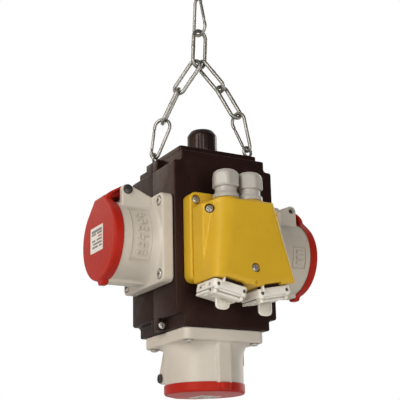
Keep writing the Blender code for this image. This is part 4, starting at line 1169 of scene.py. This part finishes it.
# ---- Small glands on the hood; (radius, height) ----
GLAND_BODY = [(6.2, -8.0), (9.0, -8.0), (9.0, GAP), (11.9, GAP), (12.3, 0.7), (12.3, 4.1),
              (11.9, 4.6), (10.9, 5.0), (10.5, 5.8), (10.2, 7.0), (10.2, 10.6), (10.1, 21.0),
              (6.2, 21.0)]
GLAND_NUT = [(10.5, 11.0), (11.6, 11.0), (12.2, 11.4), (12.7, 12.2), (12.8, 14.0),
             (12.8, 17.0), (12.8, 20.0), (12.7, 21.6), (12.5, 23.0), (12.1, 24.2),
             (11.5, 25.3), (10.6, 26.3), (9.4, 27.2), (8.1, 27.8), (7.2, 28.1), (6.7, 28.0),
             (6.5, 27.6), (6.4, 26.8), (6.4, 22.0), (10.5, 22.0)]
GLAND_SEAL = [(4.6, 21.5), (6.1, 21.5), (6.1, 27.2), (5.7, 27.7), (5.0, 27.7), (4.6, 27.3)]


def gland_facets(turn):
    """Hexagon that fades into the nut's round dome."""
    def factor(angle, radius, height):
        if radius < 11.2 or height > 26.0:
            return 1.0
        weight = max(0.0, min(1.0, (26.0 - height) / 3.5))
        return 1.0 + (hex_factor(angle, 1.10, turn) / 1.10 - 1.0) * weight
    return factor


for (side, tag), turn in zip(SIDES, (10, 26)):
    frame = gland_frame(side, GLAND_Z)
    settle(lathe(GLAND_BODY, frame, 96, name=tag + "_gland_body_fine"), M_GLAND,
           tag + "_gland_body", angle=40)
    settle(lathe(GLAND_NUT, frame, 144, gland_facets(math.radians(turn)),
                 tag + "_gland_nut_fine"), M_GLAND, tag + "_gland_nut", angle=40)
    settle(lathe(GLAND_SEAL, frame, 40, name=tag + "_gland_seal"), M_RUBBER,
           slot="seal_rubber")

# ---- Sling: on each eye a carabiner and two links, then a top link and a top carabiner ----
WIRE_R, LINK_PITCH, LINK_R = 2.0, 40.0, 6.2
HOOK_WIRE, HOOK_LENGTH, HOOK_NARROW, HOOK_WIDE = 1.75, 29.0, 4.2, 8.5   # carabiner
HOOK_PITCH = HOOK_NARROW + HOOK_LENGTH + HOOK_WIDE
HOOK_OVERLAP, LINK_OVERLAP = HOOK_WIRE + WIRE_R + 0.7, 2 * WIRE_R + 0.7
EYE_SLACK = HOOK_NARROW - HOOK_WIRE - EYE_WIRE - 0.45
SPLAY = (8.5, 0.0, -11.0)   # degrees added to the lean: upper link, lower link, carabiner
TOP_R, TOP_PITCH = 8.0, 41.0
TOP_TURN = 11.4             # degrees about z of the direction the legs spread in the top link
TOP_SPREAD, TOP_SKEW, TOP_DROP = 3.3, 1.5, 5.3
MIDDLE = (EYES[1] + EYES[-1]) / 2
EYE_LINE = (EYES[1] - EYES[-1]).normalized()
TOP_LINE = Vector((math.cos(math.radians(TOP_TURN)), math.sin(math.radians(TOP_TURN)), 0.0))
SPAN = MIDDLE - (TOP_LINE * TOP_SPREAD - EYE_LINE * TOP_SKEW) - EYES[-1]
ACROSS = SPAN.normalized()
NORMAL = Vector((-ACROSS.y, ACROSS.x, 0.0))


def leg_run(lean):
    """Sideways reach of a leg."""
    upper, lower, hook = (math.radians(lean + splay) for splay in SPLAY)
    return ((HOOK_PITCH - HOOK_NARROW + EYE_SLACK) * math.sin(hook)
            + (LINK_PITCH - HOOK_OVERLAP) * math.sin(lower)
            + (LINK_PITCH - LINK_OVERLAP) * math.sin(upper))


# bisection for the lean, in degrees, at which a leg reaches the middle
least, most = 5.0, 60.0
for _ in range(50):
    LEAN = (least + most) / 2
    if leg_run(LEAN) > SPAN.length:
        most = LEAN
    else:
        least = LEAN


def leaning(angle):
    return ACROSS * math.sin(angle) + Vector((0, 0, 1)) * math.cos(angle)


def leg_dir(side, splay):
    angle = math.radians(LEAN + splay)
    return ACROSS * (-side * math.sin(angle)) + Vector((0, 0, math.cos(angle)))


def lateral(along, turn):
    base = NORMAL.cross(along)
    return (base * math.cos(turn) + NORMAL * math.sin(turn)).normalized()


def link(name, low, along, turn, pitch=LINK_PITCH, radius=LINK_R, weld=1):
    """Oval chain link upwards from low; weld picks the straight with the weld bead."""
    side = lateral(along, turn)
    bottom, top = low + along * radius, low + along * (pitch - radius)
    path, radii = [], []

    def bend(center, start):
        for k in range(25):
            angle = start + math.pi * k / 24
            path.append(center + side * (radius * math.cos(angle))
                        + along * (radius * math.sin(angle)))
            radii.append(WIRE_R)

    def straight(start, end, beaded):
        for k in range(1, 24):
            part = k / 24
            path.append(start + (end - start) * part)
            distance = abs(part - 0.5) * (end - start).length
            bead = 0.13 * math.exp(-(distance / 1.1) ** 2) if beaded else 0.0
            radii.append(WIRE_R * (1.0 + bead))

    bend(top, 0.0)
    straight(top - side * radius, bottom - side * radius, weld < 0)
    bend(bottom, math.pi)
    straight(bottom + side * radius, top + side * radius, weld > 0)
    settle(tube(name + "_fine", path, side.cross(along), radii), M_ZINC, name, angle=60)


# (fraction of the length, fraction of the radius) along the gate
GATE_PROFILE = [(0.0, 0.45), (0.015, 0.7), (0.04, 0.9), (0.08, 1.0), (0.86, 1.0), (0.90, 0.96),
                (0.93, 0.86), (0.96, 0.70), (1.0, 0.62)]


def carabiner(name, low, along, turn, flip=False):
    """Pear-shaped hook with its narrow end at low, or at the top if flipped, and its gate."""
    if flip:
        low, along = low + along * HOOK_PITCH, -along
    side = -lateral(along, turn)
    normal = side.cross(along)
    taper = math.asin((HOOK_WIDE - HOOK_NARROW) / HOOK_LENGTH)
    narrow, wide = low + along * HOOK_NARROW, low + along * (HOOK_NARROW + HOOK_LENGTH)

    def rim(center, radius, angle):
        return center + side * (radius * math.cos(angle)) + along * (radius * math.sin(angle))

    start, end = rim(narrow, HOOK_NARROW, -taper), rim(wide, HOOK_WIDE, -taper)
    reach = end - start
    gate_low, gate_high = 0.10, 0.90   # gate opening, as fractions of its side
    path = [start + reach * part for part in (gate_low, gate_low - 0.03, 0.03)]
    path += [rim(narrow, HOOK_NARROW, -taper - (math.pi - 2 * taper) * k / 21)
             for k in range(22)]
    back_low = rim(narrow, HOOK_NARROW, -math.pi + taper)
    back_high = rim(wide, HOOK_WIDE, math.pi + taper)
    path += [back_low + (back_high - back_low) * (k / 20) for k in range(1, 20)]
    path += [rim(wide, HOOK_WIDE, math.pi + taper - (math.pi + 2 * taper) * k / 32)
             for k in range(33)]
    path += [start + reach * part for part in (0.94, gate_high + 0.015, gate_high)]
    tip = [HOOK_WIRE * 0.92]
    radii = tip + [HOOK_WIRE] * (len(path) - 2) + tip
    settle(tube(name + "_fine", path, normal, radii, closed=False), M_ZINC, name, angle=60)

    pivot, nose = start + reach * (gate_low + 0.018), start + reach * (gate_high - 0.018)
    gate_name = name + "_gate_fine"
    gate = tube(gate_name, [pivot + (nose - pivot) * part for part, _ in GATE_PROFILE], normal,
                [1.62 * size for _, size in GATE_PROFILE], closed=False)
    x_axis = (nose - pivot).normalized()
    # rivet at the pivot end and a small cross pin at the nose
    for part, radius, half in ((0.055, 0.75, 2.0), (0.955, 0.55, 1.55)):
        rivet = turned([(radius * 0.7, -half), (radius, -half + 0.25), (radius, half - 0.25),
                        (radius * 0.7, half)],
                       frame_at(pivot + (nose - pivot) * part, x_axis, normal.cross(x_axis),
                                normal), 16)
        gate = join(gate_name, [gate, rivet])
    settle(gate, M_ZINC, name + "_gate", angle=50)


# degrees each piece is turned about its length: upper link, lower link, carabiner
TURNS = {-1: (-16.0, 103.0, -8.6), 1: (-46.0, 46.0, -35.0)}
for side, tag in SIDES:
    upper_turn, lower_turn, hook_turn = map(math.radians, TURNS[side])
    upper_dir, lower_dir, hook_dir = (leg_dir(side, splay) for splay in SPLAY)
    hook_low = EYES[side] + Vector((0, 0, EYE_R)) - hook_dir * (HOOK_NARROW - EYE_SLACK)
    carabiner(tag + "_carabiner", hook_low, hook_dir, hook_turn)
    lower = hook_low + hook_dir * HOOK_PITCH - lower_dir * HOOK_OVERLAP
    link(tag + "_link_2", lower, lower_dir, lower_turn, weld=side)
    upper = lower + lower_dir * LINK_PITCH - upper_dir * LINK_OVERLAP
    link(tag + "_link_1", upper, upper_dir, upper_turn)
# both legs end at the same height; the right one's is used
leg_top = (upper + upper_dir * LINK_PITCH).z
link_dir = leaning(math.radians(3.0)).normalized()
hook_dir = leaning(math.radians(-2.5)).normalized()
top_center = Vector((MIDDLE.x, MIDDLE.y,
                     leg_top + math.sqrt(TOP_R ** 2 - TOP_SPREAD ** 2) - TOP_DROP))
top_low = top_center - link_dir * TOP_R
link("top_link", top_low, link_dir, math.radians(53.4), pitch=TOP_PITCH, radius=TOP_R, weld=-1)
carabiner("top_carabiner", top_low + link_dir * TOP_PITCH - hook_dir * HOOK_OVERLAP, hook_dir,
          math.radians(35.0), flip=True)

# ---- Terminal block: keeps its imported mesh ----
terminal_materials = model["nodes"]["terminal_block"].data.materials
terminal_materials.clear()
terminal_materials.append(M_TERMINAL)

# ---- Studio, in metres ----
scene = bpy.context.scene
scene.view_settings.view_transform = "Standard"


def floor_material():
    """Pale near the middle, white further out, and clear from below."""
    net = Graph(bpy.data.materials.new("pale_floor"))
    geometry = net.node("NewGeometry").outputs
    x, y, _ = net.node("SeparateXYZ", {0: geometry["Position"]}).outputs
    distance = net.math("POWER", net.plus(net.times(x, x), net.times(y, y)), 0.5)
    speckle = net.ramp(net.noise(scale=9.0, detail=3.0), span=(0.3, 0.7))
    color = net.mix(speckle, (0.80, 0.80, 0.79), (0.83, 0.83, 0.82))
    diffuse = net.add("BsdfDiffuse", {"Color": color, "Roughness": 0.5})
    white = net.add("Emission", {"Color": (1, 1, 1, 1), "Strength": 1.0})
    top = net.add("MixShader", {0: net.ramp(distance, span=(0.6, 2.2)), 1: diffuse, 2: white})
    clear = net.add("BsdfTransparent")
    return net.finish(net.add("MixShader", {0: geometry["Backfacing"], 1: top, 2: clear}))


FLOOR_R, FLOOR_Z, FLOOR_SEG = 2.8, -0.46, 64
pale_floor = floor_material()
floor = new_object("floor", [(x, y, FLOOR_Z) for x, y in circle(FLOOR_R, FLOOR_SEG)],
                   [list(range(FLOOR_SEG))])
floor.data.materials.append(pale_floor)


def studio_world():
    """Light mostly from behind and the right, warmer on the left; white to the camera."""
    world = bpy.data.worlds.new("studio")
    scene.world = world
    net = Graph(world, "World", coords="Generated")
    x, y, _ = net.node("SeparateXYZ", {0: net.coords}).outputs
    back = net.ramp(y, span=(-0.35, 0.55), out=(0.10, 1.0))
    right = net.ramp(x, span=(-0.75, 0.25), out=(0.50, 0.85))
    tone = net.mix(net.ramp(x, span=(-0.6, 0.1)), (1.0, 0.80, 0.68), (1.0, 0.98, 0.955))
    light = net.add("Background", {"Color": tone, "Strength": net.times(back, right)})
    white = net.add("Background", {"Color": (1, 1, 1, 1), "Strength": 1.0})
    seen = net.add("LightPath", output="Is Camera Ray")
    net.finish(net.add("MixShader", {0: seen, 1: light, 2: white}))


def area(name, location, size, power, color, target=(0, -0.05, 0)):
    light = bpy.data.lights.new(name, "AREA")
    light.shape = "RECTANGLE"
    light.size, light.size_y = size
    light.energy = power
    light.color = color
    lamp = bpy.data.objects.new(name, light)
    scene.collection.objects.link(lamp)
    lamp.location = location
    lamp.rotation_mode = "QUATERNION"
    lamp.rotation_quaternion = (Vector(target) - Vector(location)).to_track_quat("-Z", "Y")


studio_world()
area("key", location=(-1.5, -0.9, 0.5), size=(0.9, 0.9), power=19.5, color=(1.0, 0.97, 0.93))
area("fill", location=(-0.15, -1.7, -0.05), size=(1.2, 0.8), power=7.6,
     color=(1.0, 0.97, 0.94))
area("sheen", location=(-0.60, 0.95, 0.62), size=(0.5, 0.4), power=1.3,
     color=(1.0, 0.86, 0.76), target=(-0.05, -0.03, 0.05))
area("rim_right", location=(1.5, 0.5, 0.5), size=(0.8, 1.0), power=6.0,
     color=(1.0, 0.98, 0.95))

# ---- Camera: angles in radians, offsets in mm from the housing's centre ----
AZIMUTH, ELEVATION, ROLL = -0.508490263, -0.281930245, -0.0208282038
DISTANCE, OFFSET_RIGHT, OFFSET_UP = 1020.55761, -2.15675923, 49.3576212

away = Vector((math.sin(AZIMUTH) * math.cos(ELEVATION),
               -math.cos(AZIMUTH) * math.cos(ELEVATION), math.sin(ELEVATION)))
level = Vector((0, 0, 1)).cross(away).normalized()
rise = away.cross(level)
right = level * math.cos(ROLL) + rise * math.sin(ROLL)
above = -level * math.sin(ROLL) + rise * math.cos(ROLL)
place = (away * DISTANCE + right * OFFSET_RIGHT + above * OFFSET_UP
         - Vector((0, HALF_Y, 0))) * 0.001
lens = bpy.data.cameras.new("camera")
lens.sensor_width = 36.0
lens.lens = 93.4220331
lens.clip_start, lens.clip_end = 0.05, 20.0
camera = bpy.data.objects.new("camera", lens)
scene.collection.objects.link(camera)
camera.matrix_world = matrix_from(place, right, above, away)
scene.camera = camera
